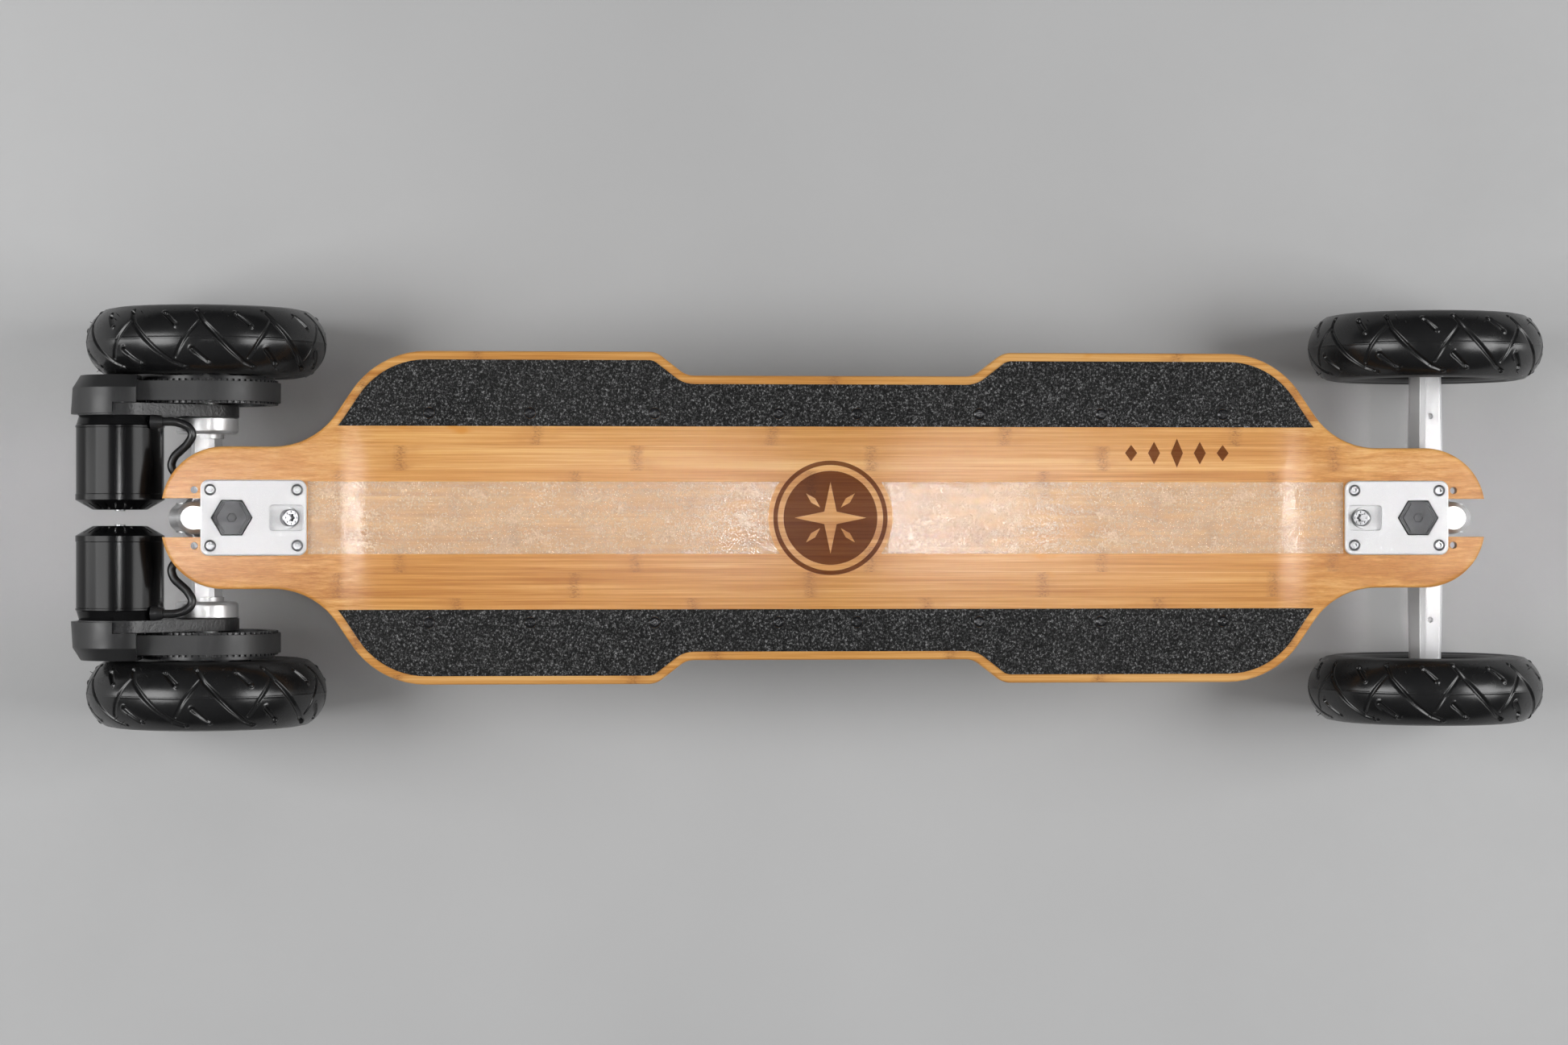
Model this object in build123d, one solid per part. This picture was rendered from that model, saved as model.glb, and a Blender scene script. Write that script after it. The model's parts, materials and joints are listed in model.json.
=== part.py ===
from build123d import *

from math import acos, atan2, cos, degrees, hypot, pi, radians, sin, sqrt, tan
import os

# Electric all-terrain longboard: bamboo deck, two double-kingpin trucks, four pneumatic wheels, twin belt drive.
#
# Row frame: +X is the way the board rides (front truck at +X), +Y is its left side, +Z is up. The origin is on
# the ground under the middle of the overall length. Each truck is drawn once in its own plate frame: u points
# outboard along the board, w points up out of the deck, and the origin is the centre of the truck plate on the
# deck's top face.

# ---------------------------------------------------------------- driving dimensions, in millimetres and degrees
TYRE_RADIUS = 90.0          # seven-inch pneumatic tyre, inflated
TYRE_WIDTH = 50.8
HALF_TRACK = 132.4          # from the board's middle plane to a tyre's middle plane
WHEELBASE = 940.0
AXLE_DIAMETER = 10.0

DECK_LENGTH = 990.0
DECK_THICKNESS = 12.0
DECK_TOP_Z = 152.0
DECK_HALF_WIDTH = 124.5     # over the foot platforms
WAIST_HALF_WIDTH = 106.7    # at the cut-outs between the foot platforms
NOSE_HALF_WIDTH = 52.8
KICK_ANGLE = 7.0            # the ends turn up by this much
KICK_X = 350.0              # where the bend is centred
KICK_RADIUS = 250.0
SLOT_HALF_WIDTH = 14.3      # drop-through slot at each end
EDGE_ROUND = 2.0

PLATE = (77.4, 56.0, 5.0)   # truck plate length, width, thickness
PLATE_INSET = 27.5          # from the deck's end to the plate's outer edge
BOLT_SPACING = (63.5, 41.3)
BOLT_RADIUS = 2.4

LEAN_ANGLE = 20.0           # both kingpins lean this far from the truck plate's normal, down and outboard
PIVOT_TRAVEL = 9.0          # each truck stage turns this far either way

PITCH = 5.0                 # belt tooth pitch
WHEEL_TEETH = 68
MOTOR_TEETH = 16
MOTOR_DISTANCE = 72.0       # wheel axle to motor shaft
MOTOR_RISE = 33.0           # the motor shaft stands behind the axle and above it by this angle
MOTOR_RADIUS = 32.5
COVER_RADIUS = 36.0

# ---------------------------------------------------------------- worked-out places
AXLE_X = WHEELBASE / 2
AXLE_Z = TYRE_RADIUS
DECK_END = DECK_LENGTH / 2
PLATE_X = DECK_END - PLATE_INSET - PLATE[0] / 2
PLATE_Z = DECK_TOP_Z + (PLATE_X - KICK_X) * tan(radians(KICK_ANGLE))
MOTOR_X = -AXLE_X - MOTOR_DISTANCE * cos(radians(MOTOR_RISE))
MOTOR_Z = AXLE_Z + MOTOR_DISTANCE * sin(radians(MOTOR_RISE))
FRONT_REACH = AXLE_X + TYRE_RADIUS
REAR_REACH = -MOTOR_X + COVER_RADIUS
BOARD_X = (REAR_REACH - FRONT_REACH) / 2     # moves the board so that the origin halves the overall length

OUT = Pos(BOARD_X, 0, 0)
FRONT = OUT * Pos(PLATE_X, 0, PLATE_Z) * Rot(0, -KICK_ANGLE, 0)
REAR = OUT * Rot(0, 0, 180) * Pos(PLATE_X, 0, PLATE_Z) * Rot(0, -KICK_ANGLE, 0)
UP = (Align.CENTER, Align.CENTER, Align.MIN)


def to_plate_frame(x, z):
    """A board point in the side plane, measured in the front truck's plate frame."""
    dx, dz, a = x - PLATE_X, z - PLATE_Z, radians(KICK_ANGLE)
    return dx * cos(a) + dz * sin(a), -dx * sin(a) + dz * cos(a)


AXLE = to_plate_frame(AXLE_X, AXLE_Z)
LEAN = radians(LEAN_ANGLE)
KINGPIN = (sin(LEAN), -cos(LEAN))            # direction of both kingpins, head to tail
PIVOT = (cos(LEAN), sin(LEAN))               # direction of both pivot axes


def along(point, direction, distance):
    """The point that lies a distance along a direction, in the side plane."""
    return point[0] + direction[0] * distance, point[1] + direction[1] * distance


BASE_HEAD = (-25.0, 1.5)                     # where the base kingpin's head bears
BASE_RING = along(BASE_HEAD, KINGPIN, 33.0)  # middle of the carrier's ring
BASE_BALL = along(BASE_RING, PIVOT, 32.0)
HANGER_RING = (AXLE[0] + 4.0, AXLE[1] + 6.0)
HANGER_BALL = along(HANGER_RING, PIVOT, -30.0)

ACCESSORY = (AXLE[0] + 2.6, 79.0)            # tapped hole in each front arm: u, and distance from the middle plane
ACCESSORY_RADIUS = 2.1
ACCESSORY_TOP = AXLE[1] + 12.1
ACCESSORY_DEPTH = 6.0                        # stops short of the axle's bore

RING_HALF = 4.0             # half the thickness of each ring
BUSH = 11.0                 # bushing height
BUSH_RADIUS = 12.5
BALL_RADIUS = 6.0
RUNNING = 0.06              # clearance of the balls in their cups


# ---------------------------------------------------------------- small helpers
def ring_solid(outer, inner, height):
    """A plain tube standing on z = 0."""
    return Cylinder(outer, height, align=UP) - Cylinder(inner, height, align=UP)


def rod(point, direction, start, end, radius, y=0.0):
    """A round bar in the side plane, from start to end along a direction."""
    foot = along(point, direction, start)
    plane = Plane(origin=(foot[0], y, foot[1]), z_dir=(direction[0], 0, direction[1]))
    return plane * Cylinder(radius, end - start, align=UP)


def slab(points, half_width, y=0.0):
    """A side-plane outline given thickness across the board."""
    face = make_face(Polyline(*points, close=True))
    return Pos(0, y, 0) * extrude(Plane.XZ * face, half_width, both=True)


def link(start, end, radius, half_width):
    """A round-ended bar between two side-plane points, square in section across the board."""
    length = hypot(end[0] - start[0], end[1] - start[1])
    turn = degrees(atan2(end[1] - start[1], end[0] - start[0]))
    middle = ((start[0] + end[0]) / 2, (start[1] + end[1]) / 2)
    face = Pos(*middle, 0) * Rot(0, 0, turn) * SlotCenterToCenter(length, 2 * radius)
    return extrude(Plane.XZ * face, half_width, both=True)


def ball(point, radius):
    """A sphere centred in the side plane."""
    return Pos(point[0], 0, point[1]) * Sphere(radius)


def spin_profile(points):
    """A solid turned about the Y axis from (radius, y) points."""
    return revolve(make_face(Polyline(*points, close=True)), Axis.Y, 360)


def y_cylinder(x, z, y0, y1, radius):
    """A cylinder parallel to Y, from y0 to y1."""
    low, high = min(y0, y1), max(y0, y1)
    return Pos(x, low, z) * Rot(-90, 0, 0) * Cylinder(radius, high - low, align=UP)


def mirrored(shape):
    """The shape and its twin across the board's middle plane."""
    return [shape, mirror(shape, Plane.XZ)]


def hex_prism(across_flats, height):
    """A hexagonal bar standing on z = 0."""
    return extrude(RegularPolygon(across_flats / 2, 6, major_radius=False), height)


def as_group(solids):
    """Separate solids kept together as one node."""
    return Compound(children=[s for item in solids for s in (item.solids() if hasattr(item, "solids") else [item])])


# ---------------------------------------------------------------- deck
def deck_outline():
    """The deck seen from above: cut-outs at the waist, two foot platforms, a slotted nose at each end."""
    shoulder = 1.522        # steepness of the taper from platform to nose
    taper_top = 337.7
    taper_foot = taper_top + (DECK_HALF_WIDTH - NOSE_HALF_WIDTH) / shoulder
    corners = [(108, WAIST_HALF_WIDTH), (131, DECK_HALF_WIDTH), (taper_top, DECK_HALF_WIDTH),
               (taper_foot, NOSE_HALF_WIDTH)]
    nose = (450.0, NOSE_HALF_WIDTH)
    tip_y = SLOT_HALF_WIDTH
    half = [(-x, y) for x, y in reversed(corners)]
    upper = [(-nose[0], nose[1])] + half + corners + [nose]
    bulge = nose_point(nose[0], tip_y)
    quarter_tip = (DECK_END, tip_y)
    right = [Line(upper[i], upper[i + 1]) for i in range(len(upper) - 1)]
    edges = list(right)
    edges.append(ThreePointArc(nose, bulge, quarter_tip))
    edges.append(Line(quarter_tip, (DECK_END, -tip_y)))
    edges.append(ThreePointArc((DECK_END, -tip_y), (bulge[0], -bulge[1]), (nose[0], -nose[1])))
    lower = [(x, -y) for x, y in reversed(upper)]
    edges += [Line(lower[i], lower[i + 1]) for i in range(len(lower) - 1)]
    edges.append(ThreePointArc((-nose[0], -nose[1]), (-bulge[0], -bulge[1]), (-DECK_END, -tip_y)))
    edges.append(Line((-DECK_END, -tip_y), (-DECK_END, tip_y)))
    edges.append(ThreePointArc((-DECK_END, tip_y), (-bulge[0], bulge[1]), (-nose[0], nose[1])))
    face = make_face(edges)
    face = round_corners(face, corners[0], 16)
    face = round_corners(face, corners[1], 16)
    face = round_corners(face, corners[2], 66)
    return round_corners(face, corners[3], 56)


def nose_point(start_x, tip_y):
    """A point halfway round the nose's arc, which leaves the nose's side square on."""
    run, drop = DECK_END - start_x, NOSE_HALF_WIDTH - tip_y
    radius = (run * run + drop * drop) / (2 * drop)
    half_turn = acos(1 - drop / radius) / 2
    return start_x + radius * sin(half_turn), NOSE_HALF_WIDTH - radius * (1 - cos(half_turn))


def round_corners(face, corner, radius):
    """Rounds a corner and its three mirror images."""
    near = [v for v in face.vertices()
            if abs(abs(v.X) - corner[0]) < 0.5 and abs(abs(v.Y) - corner[1]) < 0.5]
    return fillet(near, radius)


def deck_band(low, high, reach=DECK_END + 20):
    """The space between two heights over the deck's bent top face, across the whole width."""
    a = radians(KICK_ANGLE)
    set_back = KICK_RADIUS * tan(a / 2)

    def top_line(offset):
        bend_radius = KICK_RADIUS - offset
        start = (KICK_X - set_back, DECK_TOP_Z + offset)
        centre = (start[0], DECK_TOP_Z + KICK_RADIUS)
        middle = (centre[0] + bend_radius * sin(a / 2), centre[1] - bend_radius * cos(a / 2))
        end = (centre[0] + bend_radius * sin(a), centre[1] - bend_radius * cos(a))
        far = (reach, end[1] + (reach - end[0]) * tan(a))
        return start, middle, end, far

    s0, m0, e0, f0 = top_line(low)
    s1, m1, e1, f1 = top_line(high)

    def flip(p):
        return -p[0], p[1]

    edges = [
        Line(flip(s0), s0), ThreePointArc(s0, m0, e0), Line(e0, f0), Line(f0, f1), Line(f1, e1),
        ThreePointArc(e1, m1, s1), Line(s1, flip(s1)), ThreePointArc(flip(s1), flip(m1), flip(e1)),
        Line(flip(e1), flip(f1)), Line(flip(f1), flip(f0)), Line(flip(f0), flip(e0)),
        ThreePointArc(flip(e0), flip(m0), flip(s0)),
    ]
    return extrude(Plane.XZ * make_face(edges), 140, both=True)


def upright(face):
    """A plan outline as a tall prism, for cutting the bent bands."""
    return Pos(0, 0, 60) * extrude(face, 200)


ENCLOSURE_BOLT_Y = 78.2
BUTTON_HEAD = 4.1           # radius of the enclosure bolts' heads
REAR_BOLTS_X = (-300.0, -225.0, -132.0, -39.0)
FRONT_BOLTS_X = (20.0, 112.5, 205.0, 298.0)
ENCLOSURE_BOLTS = [(x, y) for x in REAR_BOLTS_X + FRONT_BOLTS_X for y in (-ENCLOSURE_BOLT_Y, ENCLOSURE_BOLT_Y)]


def truck_bolt_places():
    """Truck bolt centres in the plate frame."""
    return [(sx * BOLT_SPACING[0] / 2, sy * BOLT_SPACING[1] / 2) for sx in (-1, 1) for sy in (-1, 1)]


def spare_hole_places():
    """The free holes outboard of the plate, in the plate frame."""
    return [(BOLT_SPACING[0] / 2 + 11.4, sy * BOLT_SPACING[1] / 2) for sy in (-1, 1)]


def make_deck():
    body = deck_band(-DECK_THICKNESS, 0) & upright(deck_outline())
    slot_in = PLATE_X - PLATE[0] / 2 + 3.0
    slot = Pos((slot_in + DECK_END + 30) / 2, 0, DECK_TOP_Z) * Box(DECK_END + 30 - slot_in, 2 * SLOT_HALF_WIDTH, 80)
    body -= slot
    body -= mirror(slot, Plane.YZ)
    for x, y in ENCLOSURE_BOLTS:
        body -= Pos(x, y, DECK_TOP_Z - 40) * Cylinder(2.1, 80)
    drill = [Pos(u, v, 0) * Cylinder(BOLT_RADIUS + 0.2, 60) for u, v in truck_bolt_places() + spare_hole_places()]
    place = Pos(PLATE_X, 0, PLATE_Z) * Rot(0, -KICK_ANGLE, 0)
    for hole in drill:
        body -= place * hole
        body -= Rot(0, 0, 180) * place * hole
    rims = body.faces().filter_by(Axis.Z).sort_by(Axis.Z)
    outer = [e for face in (rims[-1], rims[0]) for e in face.outer_wire().edges() if e.length > 20]
    body = fillet([e for e in outer if abs(e.center().Y) > 60], EDGE_ROUND)
    return OUT * body


def make_grip_tape():
    """Two abrasive strips, one along each edge, holed around the enclosure bolts."""
    inner_edge, margin, thickness = 68.5, 6.5, 1.0
    inset = offset(deck_outline(), -margin, kind=Kind.ARC)
    strips = []
    for side in (1, -1):
        keep = Pos(0, side * (inner_edge + 100), 0) * Rectangle(800, 200)
        strip = deck_band(0, thickness) & upright(inset & keep)
        for x, y in ENCLOSURE_BOLTS:
            if y * side > 0:
                strip -= Pos(x, y, DECK_TOP_Z) * Cylinder(BUTTON_HEAD + 0.15, 20)
        strips.append(OUT * strip)
    return as_group(strips)


def make_clear_grip():
    """A clear gritty strip down the middle, interrupted by a round window."""
    half_width, window, thickness = 27.0, 46.8, 0.6
    reach = PLATE_X - PLATE[0] / 2 - 0.8
    face = Rectangle(2 * reach, 2 * half_width) - Circle(window)
    return OUT * (deck_band(0, thickness) & upright(face))


# ---------------------------------------------------------------- under-deck electronics
BOX_TOP = DECK_TOP_Z - DECK_THICKNESS
GASKET = 1.5
FLANGE = 3.5
BOX_DEPTH = 42.0
WALL = 2.8
BOX_HALF_WIDTH = 88.0
REAR_BOX = (-313.0, -26.0)
FRONT_BOX = (7.0, 311.0)


def box_outline(span, half_width, corner):
    return Pos((span[0] + span[1]) / 2, 0, 0) * RectangleRounded(span[1] - span[0], 2 * half_width, corner)


def make_enclosure(span, bolts_x):
    """A moulded tub with a bolted flange; its floor is flat and its sides lean in."""
    top = BOX_TOP - GASKET
    flange = Pos(0, 0, top - FLANGE) * extrude(box_outline(span, BOX_HALF_WIDTH, 12), FLANGE)
    tub_span = (span[0] + 4, span[1] - 4)
    tub_half = 70.0
    tub = Pos(0, 0, top - FLANGE) * extrude(box_outline(tub_span, tub_half, 14), -(BOX_DEPTH - FLANGE), taper=9)
    inner_span = (tub_span[0] + WALL, tub_span[1] - WALL)
    hollow = Pos(0, 0, top) * extrude(box_outline(inner_span, tub_half - WALL, 12), -(BOX_DEPTH - WALL), taper=9)
    body = flange + tub - hollow
    for x in bolts_x:
        for y in (-ENCLOSURE_BOLT_Y, ENCLOSURE_BOLT_Y):
            body -= Pos(x, y, top) * Cylinder(2.1, 30)
    return body


LINK_Z = BOX_TOP - GASKET - FLANGE - 12.0
BUTTON_X, PORT_X = -60.0, -250.0
BUTTON_RADIUS = 8.0
PORT_RADIUS = 7.0
SIDE_Z = BOX_TOP - GASKET - 20.0


def make_battery_enclosure():
    body = make_enclosure(FRONT_BOX, FRONT_BOLTS_X)
    body -= Pos(FRONT_BOX[0], 0, LINK_Z) * Rot(0, 90, 0) * Cylinder(8.0, 40)
    return OUT * body


def make_esc_enclosure():
    body = make_enclosure(REAR_BOX, REAR_BOLTS_X)
    body -= Pos(REAR_BOX[1], 0, LINK_Z) * Rot(0, 90, 0) * Cylinder(8.0, 40)
    floor = BOX_TOP - GASKET - BOX_DEPTH
    body -= Pos(BUTTON_X, 0, floor) * Cylinder(BUTTON_RADIUS + 0.3, 30)
    body -= Pos(PORT_X, 0, floor) * Cylinder(PORT_RADIUS + 0.3, 30)
    for side in (-1, 1):
        body -= Pos(REAR_BOX[0], side * CABLE_Y, CABLE_Z) * Rot(0, 90, 0) * Cylinder(CABLE_RADIUS + 0.2, 40)
    return OUT * body


def make_gaskets():
    pads = []
    for span, bolts in ((REAR_BOX, REAR_BOLTS_X), (FRONT_BOX, FRONT_BOLTS_X)):
        outline = box_outline(span, BOX_HALF_WIDTH, 12) - box_outline((span[0] + 7, span[1] - 7), 66, 12)
        pad = Pos(0, 0, BOX_TOP - GASKET) * extrude(outline, GASKET)
        for x in bolts:
            for y in (-ENCLOSURE_BOLT_Y, ENCLOSURE_BOLT_Y):
                pad -= Pos(x, y, BOX_TOP) * Cylinder(2.1, 20)
        pads.append(OUT * pad)
    return as_group(pads)


def make_enclosure_bolts():
    """Sixteen button-head screws through the deck, each in a flanged nut under the enclosure's rim."""
    nut_top = BOX_TOP - GASKET - FLANGE
    solids = []
    for x, y in ENCLOSURE_BOLTS:
        head = Cylinder(BUTTON_HEAD, 1.2, align=UP) + Pos(0, 0, 1.2) * Cone(BUTTON_HEAD, 2.4, 1.2, align=UP)
        head -= Pos(0, 0, 1.0) * hex_prism(2.5, 3)
        shank_length = DECK_TOP_Z - nut_top + 4.5
        bolt = head + Pos(0, 0, -shank_length) * Cylinder(2.0, shank_length, align=UP)
        solids.append(OUT * Pos(x, y, DECK_TOP_Z) * bolt)
        nut = Cylinder(4.6, 1.0, align=UP) + hex_prism(7.0, 3.6)
        nut = Rot(180, 0, 0) * (nut - Cylinder(2.0, 5, align=UP))
        solids.append(OUT * Pos(x, y, nut_top) * nut)
    return as_group(solids)


CELL_RADIUS, CELL_LENGTH = 10.5, 65.0
CELL_Z = BOX_TOP - GASKET - 21.0
CELL_PITCH = 22.2


def cell_places():
    """Cell centre x and the side of each cell; every cell lies across the board."""
    front = [FRONT_BOX[0] + 29 + CELL_PITCH * i for i in range(12)]
    rear = [-198.0 + CELL_PITCH * i for i in range(5)]
    return [(x, side) for x in front + rear for side in (-1, 1)]


def make_battery_cells():
    cells = []
    for x, side in cell_places():
        inner, outer = side * 1.5, side * (1.5 + CELL_LENGTH - 5)
        body = y_cylinder(x, CELL_Z, inner, outer, CELL_RADIUS)
        body += y_cylinder(x, CELL_Z, outer, outer + side * 1.0, 3.5)
        cells.append(OUT * body)
    return as_group(cells)


def make_busbars():
    """Nickel strips across the cells' ends."""
    strips = []
    for group in ((FRONT_BOX[0] + 29, 12), (-198.0, 5)):
        for side in (-1, 1):
            y = side * (1.5 + CELL_LENGTH - 5 + 1.15)
            for i in range(0, group[1] - 1, 2):
                x = group[0] + CELL_PITCH * (i + 0.5)
                strips.append(OUT * Pos(x, y, CELL_Z) * Box(CELL_PITCH + 12, 0.3, 8))
    return as_group(strips)


CONTROLLER = (-262.0, 72.0, 92.0, 24.0)      # middle x, length, width, height
BOARD_THICKNESS = 1.6


def make_controller_case():
    """A finned aluminium tray for the motor controller, with its fins towards the tub's floor."""
    x, length, width, height = CONTROLLER
    fin_pitch, fin_gap, fin_depth, wall = 10.0, 4.0, 8.0, 4.0
    case = Pos(x, 0, CELL_Z) * Box(length, width, height)
    for i in range(-4, 5):
        case -= Pos(x, i * fin_pitch, CELL_Z - height / 2) * Box(length, fin_gap, fin_depth)
    case -= Pos(x, 0, CELL_Z + height / 2) * Box(length - 2 * wall, width - 2 * wall, height - fin_depth)
    return OUT * case


def make_circuit_boards():
    """The controller's board in its tray, and the battery management board on edge in front of the cells."""
    x, length, width, _ = CONTROLLER
    control = Pos(x, 0, CELL_Z + 8.0) * Box(length - 10, width - 10, BOARD_THICKNESS)
    for i in range(-2, 3):
        control += Pos(x - 12.0, 15.0 * i, CELL_Z + 9.5) * Box(10, 8, 3)
    battery_x = FRONT_BOX[1] - 15.0
    battery = Pos(battery_x, 0, CELL_Z) * Box(BOARD_THICKNESS, 96, 22)
    for y in (-36, -12, 12, 36):
        battery += Pos(battery_x + 2.0, y, CELL_Z) * Box(2.4, 12, 14)
    return as_group([OUT * control, OUT * battery])


def make_link_duct():
    """A ribbed rubber duct that carries the battery leads between the two tubs and bends with the deck."""
    start, end = REAR_BOX[1] - 8.0, FRONT_BOX[0] + 8.0
    body = Pos(start, 0, LINK_Z) * Rot(0, 90, 0) * ring_solid(7.9, 6.0, end - start)
    ribs = 6
    first, last = REAR_BOX[1] + 3.0, FRONT_BOX[0] - 3.0
    for i in range(ribs):
        x = first + (last - first) * i / (ribs - 1)
        body += Pos(x - 1.2, 0, LINK_Z) * Rot(0, 90, 0) * ring_solid(10.0, 7.5, 2.4)
    return OUT * body


def make_power_leads():
    """Two battery leads through the duct."""
    start, end = REAR_BOX[1] - 16.0, FRONT_BOX[0] + 16.0
    return [Pos(start, y, LINK_Z) * Rot(0, 90, 0) * Cylinder(2.4, end - start, align=UP) for y in (-3, 3)]


BOX_FLOOR = BOX_TOP - GASKET - BOX_DEPTH
BUTTON_TRAVEL = 1.5


def make_panel_fittings():
    """The socket the power button slides in, the charging socket and the ears its flap turns on."""
    bezel = Pos(BUTTON_X, 0, BOX_FLOOR) * ring_solid(BUTTON_RADIUS + 0.25, BUTTON_RADIUS - 1.2, 9)
    bezel += Pos(BUTTON_X, 0, BOX_FLOOR - 1.2) * ring_solid(BUTTON_RADIUS + 2.5, BUTTON_RADIUS - 1.2, 1.2)
    port = Pos(PORT_X, 0, BOX_FLOOR) * Cylinder(PORT_RADIUS + 0.25, 7.5, align=UP)
    port += Pos(PORT_X, 0, BOX_FLOOR - 1.2) * Cylinder(PORT_RADIUS + 2.5, 1.2, align=UP)
    port -= Pos(PORT_X, 0, BOX_FLOOR - 1.2) * Cylinder(4.5, 6.2, align=UP)
    port += Pos(PORT_X, 0, BOX_FLOOR) * Cylinder(1.0, 5.5, align=UP)
    return as_group([OUT * bezel, OUT * port, make_cap_hinge()])


def make_power_button():
    """A round push button that stands proud of its bezel and travels up into it."""
    cap = Pos(BUTTON_X, 0, BOX_FLOOR - 3.0) * Cylinder(BUTTON_RADIUS - 1.3, 9, align=UP)
    cap -= Pos(BUTTON_X, 0, BOX_FLOOR - 3.0) * ring_solid(3.4, 2.6, 0.5)
    return OUT * cap


CAP_HINGE_X = PORT_X - PORT_RADIUS - 4.5
CAP_HINGE_Z = BOX_FLOOR - 2.6


def make_charge_cap():
    """A rubber flap with a plug, hinged beside the charging socket."""
    lid = Pos(PORT_X, 0, BOX_FLOOR - 3.4) * Cylinder(PORT_RADIUS + 2.0, 2.0, align=UP)
    strap = Pos((CAP_HINGE_X + PORT_X) / 2, 0, BOX_FLOOR - 2.6) * Box(PORT_X - CAP_HINGE_X, 7, 1.6)
    knuckle = y_cylinder(CAP_HINGE_X, CAP_HINGE_Z, -3.5, 3.5, 1.4)
    body = lid + strap + knuckle - y_cylinder(CAP_HINGE_X, CAP_HINGE_Z, -4, 4, 0.75)
    return OUT * body


def make_cap_hinge():
    """Two small ears and the pin that the charging flap turns on."""
    pin = y_cylinder(CAP_HINGE_X, CAP_HINGE_Z, -5.5, 5.5, 0.7)
    for side in (-1, 1):
        pin += Pos(CAP_HINGE_X, side * 4.6, BOX_FLOOR - 2.0) * Box(3.0, 1.6, 4.0)
    return OUT * pin


# ---------------------------------------------------------------- truck bases
POCKET = (-23.9, 25.4, 19.0)    # middle, length and width of the recess around the kingpin's head
BADGE_X = 16.0
BADGE_FLATS = 26.0


def make_truck_base():
    """The plate on the deck and the body that drops through the slot to carry the kingpin and pivot cup."""
    plate = extrude(RectangleRounded(PLATE[0], PLATE[1], 6), PLATE[2])
    plate = chamfer(plate.faces().sort_by(Axis.Z)[-1].edges(), 0.8)
    half = SLOT_HALF_WIDTH - 1.0
    seat = along(BASE_HEAD, KINGPIN, 18.0)
    inboard, outboard = along(seat, PIVOT, -14), along(seat, PIVOT, 14)
    neck = slab([(-34, 1), (-34, inboard[1]), inboard, outboard, (26, outboard[1] + 1), (28, -12), (28, 1)], half)
    cup_back = along(BASE_BALL, PIVOT, 11.0)
    cup_front = along(BASE_BALL, PIVOT, -6.0)
    boss = rod(BASE_BALL, PIVOT, -6.0, 11.0, 11.5)
    boss += slab([along(cup_front, KINGPIN, 8), along(cup_back, KINGPIN, 8), (cup_back[0], -2), (cup_front[0], -2)], 10)
    boss &= Pos(0, 0, -30) * Box(200, 2 * half, 60)
    body = plate + neck + boss
    body -= Pos(POCKET[0], 0, 1.6) * extrude(RectangleRounded(POCKET[1], POCKET[2], 3), 20)
    body -= rod(BASE_HEAD, KINGPIN, 0, 60, 5.2)
    body -= rod(BASE_HEAD, KINGPIN, -12, 0, 8.0)
    body -= rod(BASE_BALL, PIVOT, -12.0, 7.0, 8.6)
    for u, v in truck_bolt_places():
        body -= Pos(u, v, 0) * Cylinder(BOLT_RADIUS + 0.1, 20)
        body -= Pos(u, v, PLATE[2] - 2.4) * Cylinder(4.4, 5, align=UP)
    body -= Pos(BADGE_X, 0, PLATE[2] - 1.5) * hex_prism(BADGE_FLATS + 0.4, 5)
    return body


def make_truck_badge():
    """A plain hexagonal cap set in the plate, with a groove along each slanting side and a small hex recess."""
    cap = hex_prism(BADGE_FLATS, 2.5)
    cap = chamfer(cap.faces().sort_by(Axis.Z)[-1].edges(), 0.6)
    groove = hex_prism(BADGE_FLATS - 3.6, 3) - hex_prism(BADGE_FLATS - 6.2, 3) - Box(11.0, 40, 10)
    cap -= Pos(0, 0, 1.7) * (groove + hex_prism(6.0, 3))
    return Pos(BADGE_X, 0, PLATE[2] - 1.5) * cap


def make_truck_fasteners():
    """Four screws with their locknuts for one truck, in the plate frame."""
    solids = []
    for u, v in truck_bolt_places():
        head = Pos(0, 0, PLATE[2] - 2.4) * Cylinder(4.1, 1.4, align=UP)
        head += Pos(0, 0, PLATE[2] - 1.0) * Cone(4.1, 2.8, 1.2, align=UP)
        head -= Pos(0, 0, PLATE[2] - 1.4) * hex_prism(3.0, 3)
        length = DECK_THICKNESS + PLATE[2] + 6.0
        bolt = head + Pos(0, 0, PLATE[2] - 2.4 - length + 2.0) * Cylinder(BOLT_RADIUS, length - 2.0, align=UP)
        nut = hex_prism(8.0, 5.0) - Cylinder(BOLT_RADIUS, 6, align=UP)
        solids += [Pos(u, v, 0) * bolt, Pos(u, v, -DECK_THICKNESS) * Rot(180, 0, 0) * nut]
    return solids


def _flat(point):
    return point[0], 0.0, point[1]


def across(point, direction):
    """A plane through a side-plane point, facing along a direction."""
    return Plane(origin=_flat(point), z_dir=(direction[0], 0, direction[1]))


HEAD_RADIUS = 6.3
HEAD_HEIGHT = 6.0


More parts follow.
